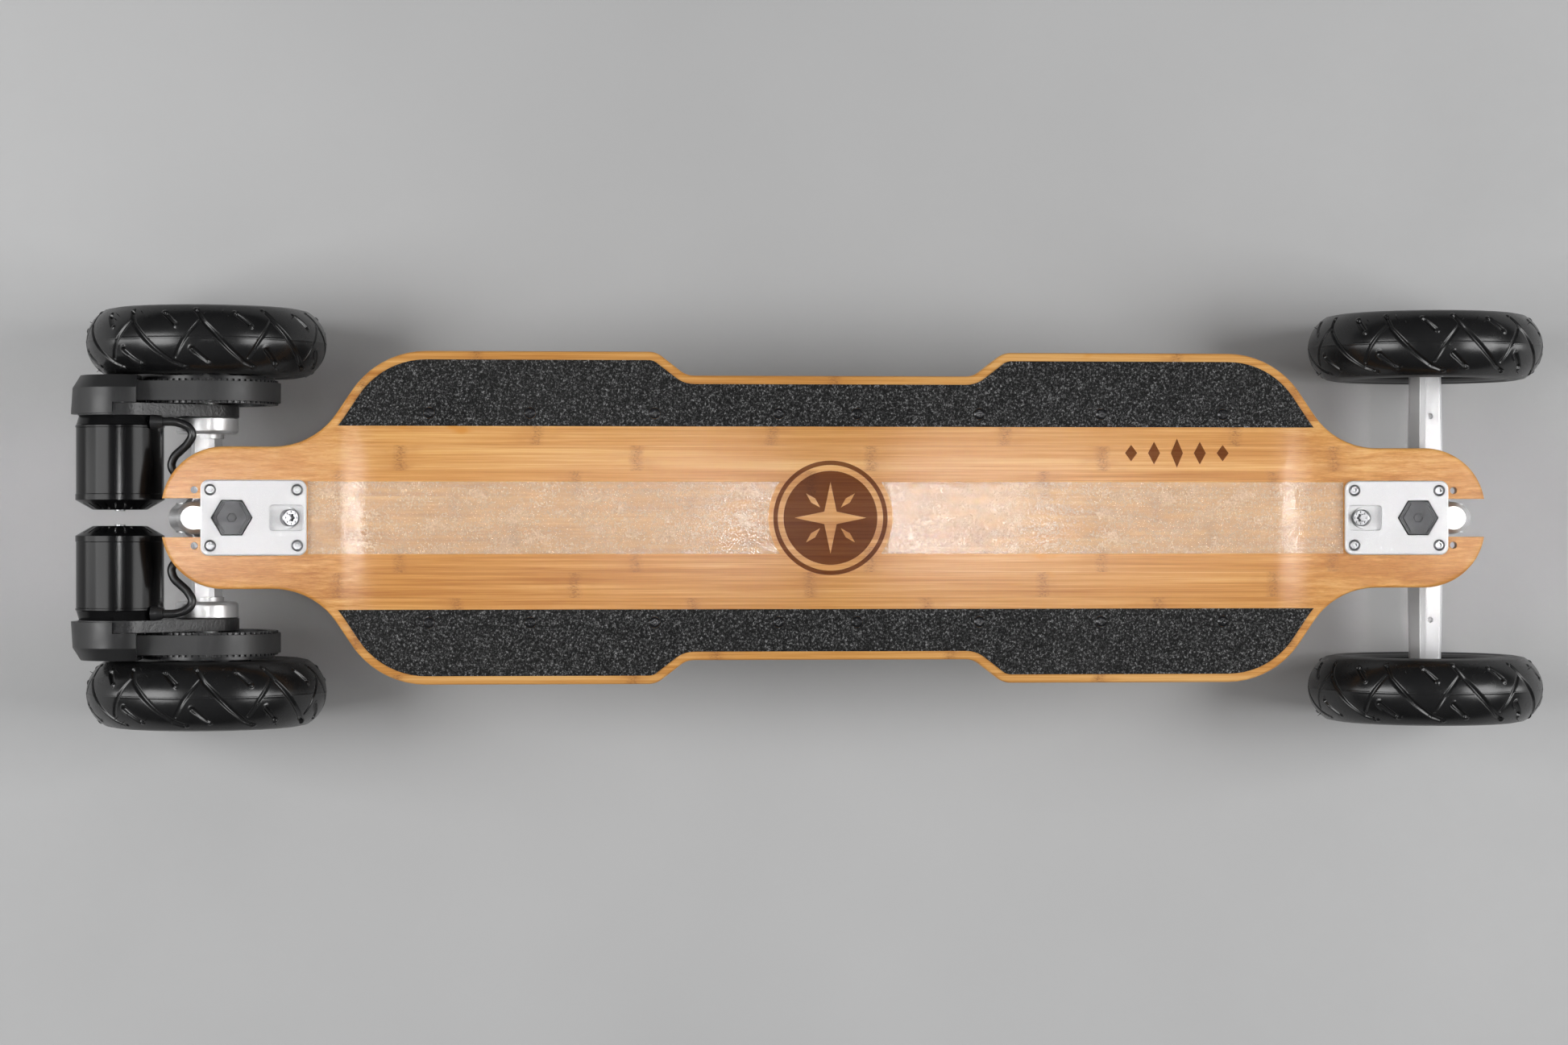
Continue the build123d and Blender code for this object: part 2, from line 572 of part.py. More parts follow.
def make_base_kingpin():
    """The base kingpin with its head cup, tail washer and locknut, in the plate frame."""
    ring, tail = BASE_RING, RING_HALF + BUSH
    head_at = -hypot(BASE_RING[0] - BASE_HEAD[0], BASE_RING[1] - BASE_HEAD[1])
    far = tail + 2.0
    head = chamfer(Cylinder(HEAD_RADIUS, HEAD_HEIGHT, align=UP).edges().group_by(Axis.Z)[0], 0.7)
    lobes = PolarLocations(2.3, 6) * Circle(0.85)
    petals = PolarLocations(4.4, 8) * Circle(0.8)
    head -= extrude(Circle(2.5) + lobes, 3.5) + extrude(Sketch() + petals, 0.9)
    bolt = across(along(ring, KINGPIN, head_at - HEAD_HEIGHT), KINGPIN) * head
    bolt += rod(ring, KINGPIN, head_at, far + 11.0, 5.0)
    nut = across(along(ring, KINGPIN, far), KINGPIN) * (hex_prism(16.0, 8.5) - Cylinder(5.0, 10, align=UP))
    washer = rod(ring, KINGPIN, tail, far, 11.5) - rod(ring, KINGPIN, tail, far, 5.0)
    cup = rod(ring, KINGPIN, -tail, -tail + 1.2, 12.0) - rod(ring, KINGPIN, -tail, 1, 5.0)
    return [bolt, nut, washer, cup]


def bushing_pair(ring, lower_cup):
    """Two urethane bushings either side of a ring, and the cup its pivot ball sits in."""
    upper = rod(ring, KINGPIN, -RING_HALF - BUSH + 1.2, -RING_HALF, BUSH_RADIUS)
    upper -= rod(ring, KINGPIN, -40, 0, 5.1)
    lower = rod(ring, KINGPIN, RING_HALF, RING_HALF + BUSH, BUSH_RADIUS)
    lower -= rod(ring, KINGPIN, 0, 40, 5.1)
    return [upper, lower] + lower_cup


def pivot_cup(centre, direction):
    """A urethane cup, open towards the ring, with a running fit on the ball."""
    cup = rod(centre, direction, -6.0, 6.9, 8.5)
    cup -= ball(centre, BALL_RADIUS + RUNNING)
    return cup - rod(centre, direction, -8.0, 0, BALL_RADIUS + RUNNING)


# ---------------------------------------------------------------- carriers and hangers
TAB_END = 52.6              # how far the carrier's tab reaches outboard through the slot
TAB_RADIUS = 8.8
SHOULDER_RADIUS = 12.2


def make_shoulder(post_u):
    """The wider step below the tab, which fills most of the slot's width with sides that slope up to the tab."""
    foot, height, slope = -12.5, 8.0, 24.0
    step = extrude(SlotCenterToCenter(30.0, 2 * SHOULDER_RADIUS), height, taper=slope)
    step = Pos(post_u - 15.0, 0, foot) * step
    return step & Pos(33.0 + 40.0, 0, foot) * Box(80, 60, 40)


def make_carrier():
    """The forged block between base and hanger: a ring on the base kingpin, a ball in the base's cup, a post that
    shows in the slot, a seat for the hanger's kingpin and a leg with the hanger's pivot socket."""
    body = rod(BASE_RING, KINGPIN, -RING_HALF, RING_HALF, 15.0)
    neck_start = along(BASE_RING, PIVOT, 12.0)
    body += rod(BASE_RING, PIVOT, 10.0, 32.0, 4.4)
    body += ball(BASE_BALL, BALL_RADIUS)
    seat = along(HANGER_RING, KINGPIN, -RING_HALF - BUSH)
    body += rod(HANGER_RING, KINGPIN, -RING_HALF - BUSH - 9.0, -RING_HALF - BUSH, 13.5)
    elbow = along(seat, KINGPIN, -5.0)
    under = (neck_start[0] + 9.0, neck_start[1] - 12.0)
    body += link(along(neck_start, KINGPIN, 0.5), under, 4.5, 11.0)
    body += link(under, elbow, 5.5, 11.0)
    post_top, post_foot = (TAB_END - TAB_RADIUS, -3.0), (50.5, -38.0)
    lean = hypot(post_foot[0] - post_top[0], post_foot[1] - post_top[1])
    way = ((post_foot[0] - post_top[0]) / lean, (post_foot[1] - post_top[1]) / lean)
    post = across(along(post_top, way, -2.0), way) * Cone(TAB_RADIUS, 11.2, lean + 2.0, align=UP)
    tab = slab([(33, -3), (post_top[0], -3), (post_top[0] + 1, -12), (33, -9)], TAB_RADIUS - 0.6)
    post += tab + make_shoulder(post_top[0])
    post &= Pos(40, 0, -53) * Box(60, 60, 100)
    body += post
    body += link((49.0, -38.0), elbow, 7.0, 11.0)
    knee = (HANGER_BALL[0] + 0.5, elbow[1] + 4.0)
    body += link(elbow, knee, 5.0, 9.0)
    body += link(knee, along(HANGER_BALL, PIVOT, -8.5), 4.5, 9.0)
    body += rod(HANGER_BALL, PIVOT, -12.0, 5.0, 10.5)
    body -= rod(BASE_RING, KINGPIN, -20, 20, 7.2)
    body -= rod(BASE_RING, KINGPIN, RING_HALF, 36, 13.4)
    body -= rod(BASE_RING, KINGPIN, -30, -RING_HALF, 13.4) - rod(BASE_RING, PIVOT, 13.5, 40, 20)
    body -= rod(HANGER_RING, KINGPIN, -40, 10, 5.0)
    body -= rod(HANGER_RING, KINGPIN, -RING_HALF - BUSH, 30, 14.2)
    body -= rod(HANGER_BALL, PIVOT, -7.0, 8.0, 8.6)
    return body


def make_hanger_kingpin():
    """The hanger's kingpin, screwed up into the carrier, with its washer."""
    far = RING_HALF + BUSH + 2.0
    bolt = rod(HANGER_RING, KINGPIN, -RING_HALF - BUSH - 9.0, far, 4.9)
    bolt += across(along(HANGER_RING, KINGPIN, far), KINGPIN) * hex_prism(16.0, 7.0)
    washer = rod(HANGER_RING, KINGPIN, far - 2.0, far, 11.5) - rod(HANGER_RING, KINGPIN, far - 2.0, far, 4.9)
    cup = rod(HANGER_RING, KINGPIN, -RING_HALF - BUSH, -RING_HALF - BUSH + 1.2, 12.0)
    cup -= rod(HANGER_RING, KINGPIN, -30, 30, 4.9)
    return [bolt, washer, cup]


ARM_END = HALF_TRACK - 19.0     # where the hanger's end meets the wheel's inner bearing


def arm_section(half_width, half_height, y):
    """The arm's many-sided section: a steep facet inboard, a broad one outboard."""
    u, w = AXLE
    points = [(-half_width, -0.55 * half_height), (-half_width, 0.25 * half_height),
              (-0.45 * half_width, 0.92 * half_height), (-0.08 * half_width, half_height),
              (0.82 * half_width, half_height), (half_width, 0.7 * half_height),
              (half_width, -0.6 * half_height), (0.5 * half_width, -half_height),
              (-0.5 * half_width, -half_height)]
    face = make_face(Polyline(*[(u + a, w + b) for a, b in points], close=True))
    return Plane(origin=(0, y, 0), x_dir=(1, 0, 0), z_dir=(0, -1, 0)) * face


def cut_for_bushings(body):
    """Opens the kingpin hole and clears the space of both bushings and their hardware."""
    nose = rod(HANGER_RING, PIVOT, -30.0, -9.0, RING_HALF - 0.1) + ball(HANGER_BALL, BALL_RADIUS)
    body -= rod(HANGER_RING, KINGPIN, RING_HALF, 40, 15.4)
    body -= rod(HANGER_RING, KINGPIN, -60, -RING_HALF, 15.4)
    body += nose
    return body - rod(HANGER_RING, KINGPIN, -10, 10, 7.2)


def make_front_hanger():
    """A forged cross-arm, tapering to each end, with a tapped accessory hole in each arm."""
    body = loft([arm_section(13.4, 14.0, 0.0), arm_section(11.4, 11.4, ARM_END - 2.0)])
    body += mirror(body, Plane.XZ)
    body += rod(HANGER_RING, KINGPIN, -RING_HALF, RING_HALF, 19.0)
    for side in (-1, 1):
        body += y_cylinder(AXLE[0], AXLE[1], side * (ARM_END - 14), side * ARM_END, 8.5)
        body -= y_cylinder(AXLE[0], AXLE[1], side * 52, side * (ARM_END + 1), AXLE_DIAMETER / 2)
        foot = Pos(ACCESSORY[0], side * ACCESSORY[1], ACCESSORY_TOP - ACCESSORY_DEPTH)
        body -= foot * Cylinder(ACCESSORY_RADIUS, 40, align=UP)
    return cut_for_bushings(body)


FLANGE_RADIUS = 23.5
FLANGE_SPAN = (63.6, 76.0)
MOUNT_SPAN = (76.2, 85.2)
MOUNT_RADIUS = (31.0, 24.2)   # around the motor and around the axle


def make_rear_hanger():
    """A round-armed hanger with a flange on each side for the motor mount."""
    body = loft([arm_section(13.4, 14.0, 0.0), arm_section(11.2, 11.5, FLANGE_SPAN[0] + 2)])
    body += mirror(body, Plane.XZ)
    body += rod(HANGER_RING, KINGPIN, -RING_HALF, RING_HALF, 19.0)
    u, w = AXLE
    for side in (-1, 1):
        flange = y_cylinder(u, w, side * FLANGE_SPAN[0], side * FLANGE_SPAN[1], FLANGE_RADIUS)
        rims = flange.edges().filter_by(GeomType.CIRCLE).sort_by(Axis.Y)
        flange = fillet(rims[0 if side > 0 else -1], 3.0)
        flange = chamfer(flange.edges().filter_by(GeomType.CIRCLE).sort_by(Axis.Y)[-1 if side > 0 else 0], 0.8)
        body += flange
        body += y_cylinder(u, w, side * 60, side * MOUNT_SPAN[1], 12.9)
        body += y_cylinder(u, w, side * 60, side * ARM_END, 8.5)
        body -= y_cylinder(u, w, side * 52, side * (ARM_END + 1), AXLE_DIAMETER / 2)
        for i in range(4):
            turn = radians(45 + 90 * i)
            body -= y_cylinder(u + 18 * cos(turn), w + 18 * sin(turn), side * 66, side * 90, 2.0)
    return cut_for_bushings(body)


def make_axles(reach):
    """Two stub axles, each with its washers and locknut, about the axle line in the plate frame."""
    u, w = AXLE
    solids = []
    for side in (-1, 1):
        solids.append(y_cylinder(u, w, side * 52, side * (HALF_TRACK + reach), AXLE_DIAMETER / 2 - 0.02))
        washer_in = y_cylinder(u, w, side * ARM_END, side * (ARM_END + 1.0), 7.4)
        solids.append(washer_in - y_cylinder(u, w, side * (ARM_END - 1), side * (ARM_END + 2), AXLE_DIAMETER / 2))
        face = HALF_TRACK + 12.0
        washer = y_cylinder(u, w, side * face, side * (face + 1.4), 8.0)
        solids.append(washer - y_cylinder(u, w, side * (face - 1), side * (face + 2), AXLE_DIAMETER / 2))
        nut = Rot(-90 * side, 0, 0) * (hex_prism(15.0, 7.6) - Cylinder(AXLE_DIAMETER / 2, 9, align=UP))
        solids.append(Pos(u, side * (face + 1.4), w) * nut)
    return solids


# ---------------------------------------------------------------- wheels, drawn about Y with the outboard side at +y
BEAD_RADIUS = 41.0
RIM_HALF = 19.5


def make_tyre():
    """A hollow pneumatic casing with a round crown and flat sidewalls."""
    crown_centre, crown = TYRE_RADIUS - 28.0, 28.0
    half = TYRE_WIDTH / 2
    shoulder = crown_centre + sqrt(crown * crown - half * half)
    wall = 5.0
    inner_half, inner_crown = half - wall, crown - wall
    inner_shoulder = crown_centre + sqrt(inner_crown * inner_crown - inner_half * inner_half)
    bead = RIM_HALF - 2.7
    outer = [
        Line((BEAD_RADIUS, bead), (48.0, bead)),
        Line((48.0, bead), (56.0, half)),
        Line((56.0, half), (shoulder, half)),
        ThreePointArc((shoulder, half), (TYRE_RADIUS, 0), (shoulder, -half)),
        Line((shoulder, -half), (56.0, -half)),
        Line((56.0, -half), (48.0, -bead)),
        Line((48.0, -bead), (BEAD_RADIUS, -bead)),
        Line((BEAD_RADIUS, -bead), (BEAD_RADIUS, -bead + 4)),
        Line((BEAD_RADIUS, -bead + 4), (56.0, -inner_half)),
        Line((56.0, -inner_half), (inner_shoulder, -inner_half)),
        ThreePointArc((inner_shoulder, -inner_half), (TYRE_RADIUS - wall, 0), (inner_shoulder, inner_half)),
        Line((inner_shoulder, inner_half), (56.0, inner_half)),
        Line((56.0, inner_half), (BEAD_RADIUS, bead - 4)),
        Line((BEAD_RADIUS, bead - 4), (BEAD_RADIUS, bead)),
    ]
    return revolve(make_face(outer), Axis.Y, 360)


SPOKES = 5
HUB_BOLT_CIRCLE = 27.5


def make_hub():
    """Two rim halves that clamp the tyre's beads, each with five windows and a bearing seat."""
    halves = []
    for side, seat_in, seat_out in ((1, 4.0, 12.0), (-1, 10.0, 18.0)):
        rim = spin_profile([(12.0, 0), (12.0, side * seat_in), (13.0, side * seat_in), (13.0, side * seat_out),
                            (19.5, side * seat_out), (21.5, side * 7.0), (34.0, side * 7.0), (36.5, side * 10.0),
                            (37.5, side * RIM_HALF), (47.0, side * RIM_HALF), (47.0, side * (RIM_HALF - 2.6)),
                            (BEAD_RADIUS, side * (RIM_HALF - 2.6)), (BEAD_RADIUS, side * 8), (39.0, side * 5), (39.0, 0)])
        for i in range(SPOKES):
            turn = 360.0 * i / SPOKES
            window = Pos(28.0, 0, 0) * Rot(90, 0, 0) * extrude(RectangleRounded(10.5, 15.0, 4), 40, both=True)
            rim -= Rot(0, turn + 36, 0) * window
            rim -= Rot(0, turn, 0) * Pos(HUB_BOLT_CIRCLE, 0, 0) * Rot(90, 0, 0) * Cylinder(2.05, 60)
        halves.append(rim)
    return halves


def make_wheel_bolts(length_in):
    """Five clamp screws and nuts through both rim halves."""
    solids = []
    for i in range(SPOKES):
        bolt = y_cylinder(HUB_BOLT_CIRCLE, 0, -7.0 - length_in, 7.0, 2.0)
        head = y_cylinder(HUB_BOLT_CIRCLE, 0, 7.0, 10.2, 3.6)
        head -= Pos(HUB_BOLT_CIRCLE, 8.4, 0) * Rot(-90, 0, 0) * hex_prism(3.0, 4)
        nut = Pos(HUB_BOLT_CIRCLE, -7.0, 0) * Rot(90, 0, 0) * (hex_prism(7.0, 3.2) - Cylinder(2.0, 8))
        solids += [Rot(0, 360.0 * i / SPOKES, 0) * (bolt + head), Rot(0, 360.0 * i / SPOKES, 0) * nut]
    return solids


def make_bearings():
    """Two ball bearings and the spacer between them; races, balls and shields as separate solids."""
    solids = []
    for y0, y1 in ((-18.0, -10.0), (4.0, 12.0)):
        middle = (y0 + y1) / 2
        outer = y_cylinder(0, 0, y0, y1, 13.0) - y_cylinder(0, 0, y0 - 1, y1 + 1, 11.0)
        inner = y_cylinder(0, 0, y0, y1, 7.0) - y_cylinder(0, 0, y0 - 1, y1 + 1, AXLE_DIAMETER / 2)
        groove = Pos(0, middle, 0) * Rot(90, 0, 0) * Torus(9.0, 2.45)
        solids += [outer - groove, inner - groove]
        for i in range(7):
            turn = 2 * pi * i / 7
            solids.append(Pos(9.0 * cos(turn), middle, 9.0 * sin(turn)) * Sphere(2.4))
    solids.append(y_cylinder(0, 0, -10, 4, 7.0) - y_cylinder(0, 0, -11, 5, AXLE_DIAMETER / 2))
    return solids


def toothed_face(teeth, depth=1.9):
    """A belt pulley's outline: a circle with round grooves at the belt's pitch."""
    tip = teeth * PITCH / pi / 2 - 0.57
    groove = PolarLocations(tip - depth + 1.45, teeth) * Circle(1.45)
    mouth = PolarLocations(tip, teeth) * Rectangle(2.6, 2.5)
    return Circle(tip) - groove - mouth


BELT_SPAN = (87.4, 102.2)
PULLEY_OVERHANG = 1.7       # how far the driven pulley's teeth show beyond each edge of the belt
WHEEL_TIP = WHEEL_TEETH * PITCH / pi / 2 - 0.57
MOTOR_TIP = MOTOR_TEETH * PITCH / pi / 2 - 0.57


def make_wheel_pulley():
    """The driven pulley: a toothed band wider than the belt, a drum behind it and a spigot on the rim half."""
    y_in, y_out = (y - HALF_TRACK for y in (BELT_SPAN[0] - PULLEY_OVERHANG, BELT_SPAN[1] + PULLEY_OVERHANG))
    to_y = Rot(-90, 0, 0)
    band = Pos(0, y_in, 0) * to_y * extrude(toothed_face(WHEEL_TEETH), y_out - y_in)
    drum = y_cylinder(0, 0, y_out, -TYRE_WIDTH / 2 - 0.6, 51.0)
    spigot = y_cylinder(0, 0, -TYRE_WIDTH / 2 - 0.6, -RIM_HALF, 33.0)
    body = band + drum + spigot
    body -= y_cylinder(0, 0, y_in - 1, y_in + 14.0, 46.0)
    body -= y_cylinder(0, 0, y_in - 1, -RIM_HALF + 1, 15.0)
    for i in range(SPOKES):
        window = Pos(30.5, 0, 0) * Rot(90, 0, 0) * extrude(RectangleRounded(15.0, 21.0, 5), 80, both=True)
        body -= Rot(0, 360.0 * i / SPOKES + 36, 0) * window
        body -= Rot(0, 360.0 * i / SPOKES, 0) * y_cylinder(HUB_BOLT_CIRCLE, 0, -60, 0, 2.05)
    return body


def make_pulley_wheel_bolts():
    """Five long screws that hold the pulley and both rim halves together."""
    solids = []
    back = BELT_SPAN[0] - PULLEY_OVERHANG - HALF_TRACK + 14.0
    for i in range(SPOKES):
        bolt = y_cylinder(HUB_BOLT_CIRCLE, 0, back - 4.5, 7.0, 2.0)
        head = y_cylinder(HUB_BOLT_CIRCLE, 0, 7.0, 10.2, 3.6)
        head -= Pos(HUB_BOLT_CIRCLE, 8.4, 0) * Rot(-90, 0, 0) * hex_prism(3.0, 4)
        nut = Pos(HUB_BOLT_CIRCLE, back, 0) * Rot(90, 0, 0) * (hex_prism(7.0, 3.2) - Cylinder(2.0, 8))
        solids += [Rot(0, 360.0 * i / SPOKES, 0) * (bolt + head), Rot(0, 360.0 * i / SPOKES, 0) * nut]
    return solids


# ---------------------------------------------------------------- drive, in board coordinates, left side first
def motor_frame(shape):
    """Moves a shape drawn about Y at the origin onto the left motor's shaft."""
    return Pos(MOTOR_X, 0, MOTOR_Z) * shape


TO_AXLE = (cos(radians(MOTOR_RISE)), -sin(radians(MOTOR_RISE)))     # from the motor shaft to the wheel axle


def drive_hull(radius_motor, radius_axle, y0, y1):
    """A belt-shaped plate around the motor shaft and the wheel axle."""
    mx, mz, ax, az = MOTOR_X, MOTOR_Z, -AXLE_X, AXLE_Z
    face = make_hull((Pos(mx, mz) * Circle(radius_motor)).edges() + (Pos(ax, az) * Circle(radius_axle)).edges())
    return Plane(origin=(0, y0, 0), x_dir=(1, 0, 0), z_dir=(0, -1, 0)) * extrude(face, -(y1 - y0))


def make_motor_mount():
    """An aluminium arm from the hanger's flange to the motor."""
    y0, y1 = MOUNT_SPAN
    body = drive_hull(*MOUNT_RADIUS, y0, y1)
    body -= y_cylinder(-AXLE_X, AXLE_Z, y0 - 1, y1 + 1, 12.95)
    body -= y_cylinder(MOTOR_X, MOTOR_Z, y0 - 1, y1 + 1, 11.0)
    for i in range(4):
        turn = radians(45 + 90 * i)
        body -= y_cylinder(MOTOR_X + 20 * cos(turn), MOTOR_Z + 20 * sin(turn), y0 - 1, y1 + 1, 2.1)
        body -= y_cylinder(MOTOR_X + 20 * cos(turn), MOTOR_Z + 20 * sin(turn), y1 - 2, y1 + 1, 3.6)
        turn = radians(45 + 90 * i - KICK_ANGLE)
        body -= y_cylinder(-AXLE_X + 18 * cos(turn), AXLE_Z + 18 * sin(turn), y0 - 1, y1 + 1, 2.1)
        body -= y_cylinder(-AXLE_X + 18 * cos(turn), AXLE_Z + 18 * sin(turn), y1 - 2, y1 + 1, 3.6)
    middle = ((MOTOR_X - AXLE_X) / 2 + 4, (MOTOR_Z + AXLE_Z) / 2 - 3)
    window = y_cylinder(middle[0], middle[1], y0 - 1, y1 + 1, 8.0)
    return body - window


def make_mount_screws():
    """Screws that hold a motor to its mount and the mount to the hanger."""
    y0, y1 = MOUNT_SPAN
    solids = []
    for i in range(4):
        turn = radians(45 + 90 * i)
        x, z = MOTOR_X + 20 * cos(turn), MOTOR_Z + 20 * sin(turn)
        screw = y_cylinder(x, z, y0 - 5, y1 - 2, 2.0) + y_cylinder(x, z, y1 - 2, y1 - 0.2, 3.4)
        solids.append(screw - Pos(x, y1 - 1.1, z) * Rot(-90, 0, 0) * hex_prism(2.5, 3))
        turn = radians(45 + 90 * i - KICK_ANGLE)
        x, z = -AXLE_X + 18 * cos(turn), AXLE_Z + 18 * sin(turn)
        screw = y_cylinder(x, z, y0 - 9, y1 - 2, 1.95) + y_cylinder(x, z, y1 - 2, y1 - 0.2, 3.4)
        solids.append(screw - Pos(x, y1 - 1.1, z) * Rot(-90, 0, 0) * hex_prism(2.5, 3))
    return solids


COVER_SPAN = (77.2, 106.0)
COVER_MOUTH = 15.5          # how far the cover reaches forward of the motor shaft
SKIRT_MOUTH = -1.5          # and where its skirt around the motor mount stops


def make_belt_cover():
    """A moulded cap over the motor pulley, open towards the wheel, with a bevelled end."""
    y0, y1 = COVER_SPAN
    bevel_y, bevel = 9.4, 7.0
    outer = spin_profile([(0, y0), (COVER_RADIUS, y0), (COVER_RADIUS - 1.2, y1 - bevel_y),
                          (COVER_RADIUS - bevel, y1), (0, y1)])
    hollow = spin_profile([(0, y0 - 1), (31.4, y0 - 1), (31.4, MOUNT_SPAN[1] + 0.2), (0, MOUNT_SPAN[1] + 0.2)])
    room = spin_profile([(0, MOUNT_SPAN[1]), (COVER_RADIUS - 3.8, MOUNT_SPAN[1]), (COVER_RADIUS - 3.8, y1 - bevel_y),
                         (COVER_RADIUS - 7.4, y1 - 2.5), (0, y1 - 2.5)])
    cap = motor_frame(outer - hollow - room)
    cap -= drive_hull(MOUNT_RADIUS[0] + 0.3, MOUNT_RADIUS[1] + 0.3, y0 - 1, MOUNT_SPAN[1] + 0.2)
    cap -= open_space(COVER_MOUTH, y0 - 1, y1 + 1)
    cap -= y_cylinder(-AXLE_X, AXLE_Z, y0 - 1, y1 + 1, WHEEL_TIP + 3.5)
    cap -= drive_hull(MOTOR_TIP + 4.0, WHEEL_TIP + 4.0, MOUNT_SPAN[1] + 0.2, y1 - 2.5)
    return cap - open_space(SKIRT_MOUTH, y0 - 1, MOUNT_SPAN[1] + 0.2)


def open_space(start, y0, y1):
    """Everything forward of a distance from the motor shaft, between two distances from the middle plane."""
    size = 120.0
    return Pos(MOTOR_X + start + size / 2, (y0 + y1) / 2, MOTOR_Z) * Box(size, y1 - y0, size)


def belt_face(extra_in, extra_out):
    """The band between two loops around both pulleys; extras are measured from the pulley tips."""
    mx, mz, ax, az = MOTOR_X, MOTOR_Z, -AXLE_X, AXLE_Z
    loops = [make_hull((Pos(mx, mz) * Circle(MOTOR_TIP + e)).edges() + (Pos(ax, az) * Circle(WHEEL_TIP + e)).edges())
             for e in (extra_out, extra_in)]
    return loops[0] - loops[1]


def make_belt():
    """A toothed belt; teeth show on the two free spans, and the wrapped lengths run just clear of the pulleys."""
    y0, y1 = BELT_SPAN
    to_y = Plane(origin=(0, y0, 0), x_dir=(1, 0, 0), z_dir=(0, -1, 0))
    body = to_y * extrude(belt_face(0.12, 1.9), -(y1 - y0))
    tilt = acos((WHEEL_TIP - MOTOR_TIP) / MOTOR_DISTANCE)
    base = atan2(TO_AXLE[1], TO_AXLE[0])
    span = sqrt(MOTOR_DISTANCE ** 2 - (WHEEL_TIP - MOTOR_TIP) ** 2)
    for side in (-1, 1):
        normal = base + side * (pi - tilt)
        foot = (MOTOR_X + (MOTOR_TIP + 0.2) * cos(normal), MOTOR_Z + (MOTOR_TIP + 0.2) * sin(normal))
        way = normal - side * pi / 2
        first = 10.0
        while first < span - 16.5:
            x, z = foot[0] + first * cos(way), foot[1] + first * sin(way)
            body += y_cylinder(x, z, y0, y1, 1.3)
            first += PITCH
    return body


TUBE_RADIUS = 9.5


def make_motor_base():
    """The fixed mounting base, flared to a lip just over the can's rim, with the tube that carries the stator."""
    base = spin_profile([(6.0, 66.4), (29.6, 66.4), (29.6, 67.3), (MOTOR_RADIUS + 0.3, 67.3), (MOTOR_RADIUS + 0.3, 68.6),
                         (MOTOR_RADIUS - 0.4, 69.4), (MOTOR_RADIUS - 2.4, 76.1), (6.0, 76.1)])
    base += spin_profile([(6.0, 16.0), (TUBE_RADIUS, 16.0), (TUBE_RADIUS, 67.0), (6.0, 67.0)])
    for i in range(4):
        turn = radians(45 + 90 * i)
        base -= y_cylinder(20 * cos(turn), 20 * sin(turn), 70.5, 77, 2.0)
    return motor_frame(base)


def make_stator():
    """The wound stator and the shaft's two bearings."""
    core = y_cylinder(0, 0, 20.0, 62.0, 26.5) - y_cylinder(0, 0, 19, 63, TUBE_RADIUS + 0.03)
    for i in range(12):
        slot = Pos(21.0, 41.0, 0) * Box(9.0, 44.0, 3.0) + Pos(26.0, 41.0, 0) * Box(6.0, 44.0, 1.2)
        core -= Rot(0, 30.0 * i, 0) * slot
    rings = [y_cylinder(0, 0, y0, y0 + 5.0, 5.98) - y_cylinder(0, 0, y0 - 1, y0 + 6, 4.02) for y0 in (18.0, 70.0)]
    return [motor_frame(part) for part in [core] + rings]


def make_motor_can():
    """The turning shell of the outrunner motor, with a vented bevelled end and fourteen magnets inside."""
    rim = MOTOR_RADIUS + 0.3
    shell = spin_profile([(3.98, 6.0), (20.0, 6.0), (rim, 13.4), (rim, 17.6), (MOTOR_RADIUS - 0.2, 18.0),
                          (MOTOR_RADIUS - 0.2, 66.9), (30.0, 66.9), (30.0, 15.4), (19.0, 9.4), (3.98, 9.4)])
    vents = 24
    for i in range(vents):
        shell -= Rot(0, 360.0 * i / vents, 0) * Pos(0, 8.0, 25.0) * Box(1.6, 14.0, 8.0)
    solids = [shell]
    for i in range(14):
        magnet = Pos(28.6, 41.0, 0) * Box(2.6, 44.0, 9.0)
        magnet &= y_cylinder(0, 0, 10, 70, 29.98)
        solids.append(Rot(0, 360.0 * i / 14, 0) * magnet)
    return [motor_frame(s) for s in solids]


def make_motor_shaft():
    """The motor's shaft and the drive pulley keyed to it."""
    shaft = y_cylinder(0, 0, 5.0, BELT_SPAN[1] + 0.9, 3.96)
    y_in, y_out = BELT_SPAN[0] - 0.4, BELT_SPAN[1] + 0.4
    teeth = Pos(0, y_in, 0) * Rot(-90, 0, 0) * extrude(toothed_face(MOTOR_TEETH), y_out - y_in)
    pulley = teeth - y_cylinder(0, 0, y_in - 1, y_out + 1, 3.98)
    return [motor_frame(shaft), motor_frame(pulley)]


CABLE_RADIUS = 3.2
CABLE_Y = 30.0
CABLE_Z = BOX_TOP - GASKET - FLANGE - 8.0
CABLE_JOIN = (MOTOR_X + 62.0, CABLE_Y, MOTOR_Z + 11.0)     # where the loop meets the run under the deck


def round_cable(points, start_way, end_way):
    """A round cable through the points, leaving and arriving in the given directions."""
    path = Spline(*points, tangents=(start_way, end_way))
    return sweep(Plane(origin=path @ 0, z_dir=path % 0) * Circle(CABLE_RADIUS), path)


def make_motor_cable():
    """The motor lead's free loop: out over the hanger's flange, back beside the motor and under the deck's nose."""
    points = [
        (MOTOR_X + 27.5, 71.0, MOTOR_Z + 20.5),
        (MOTOR_X + 43.0, 71.0, MOTOR_Z + 17.0),
        (MOTOR_X + 53.0, 62.0, MOTOR_Z + 13.0),
        (MOTOR_X + 45.5, 50.0, MOTOR_Z + 10.0),
        (MOTOR_X + 39.0, 38.5, MOTOR_Z + 9.0),
        CABLE_JOIN,
    ]
    return round_cable(points, (1, 0.1, 0), (1, 0, 0))


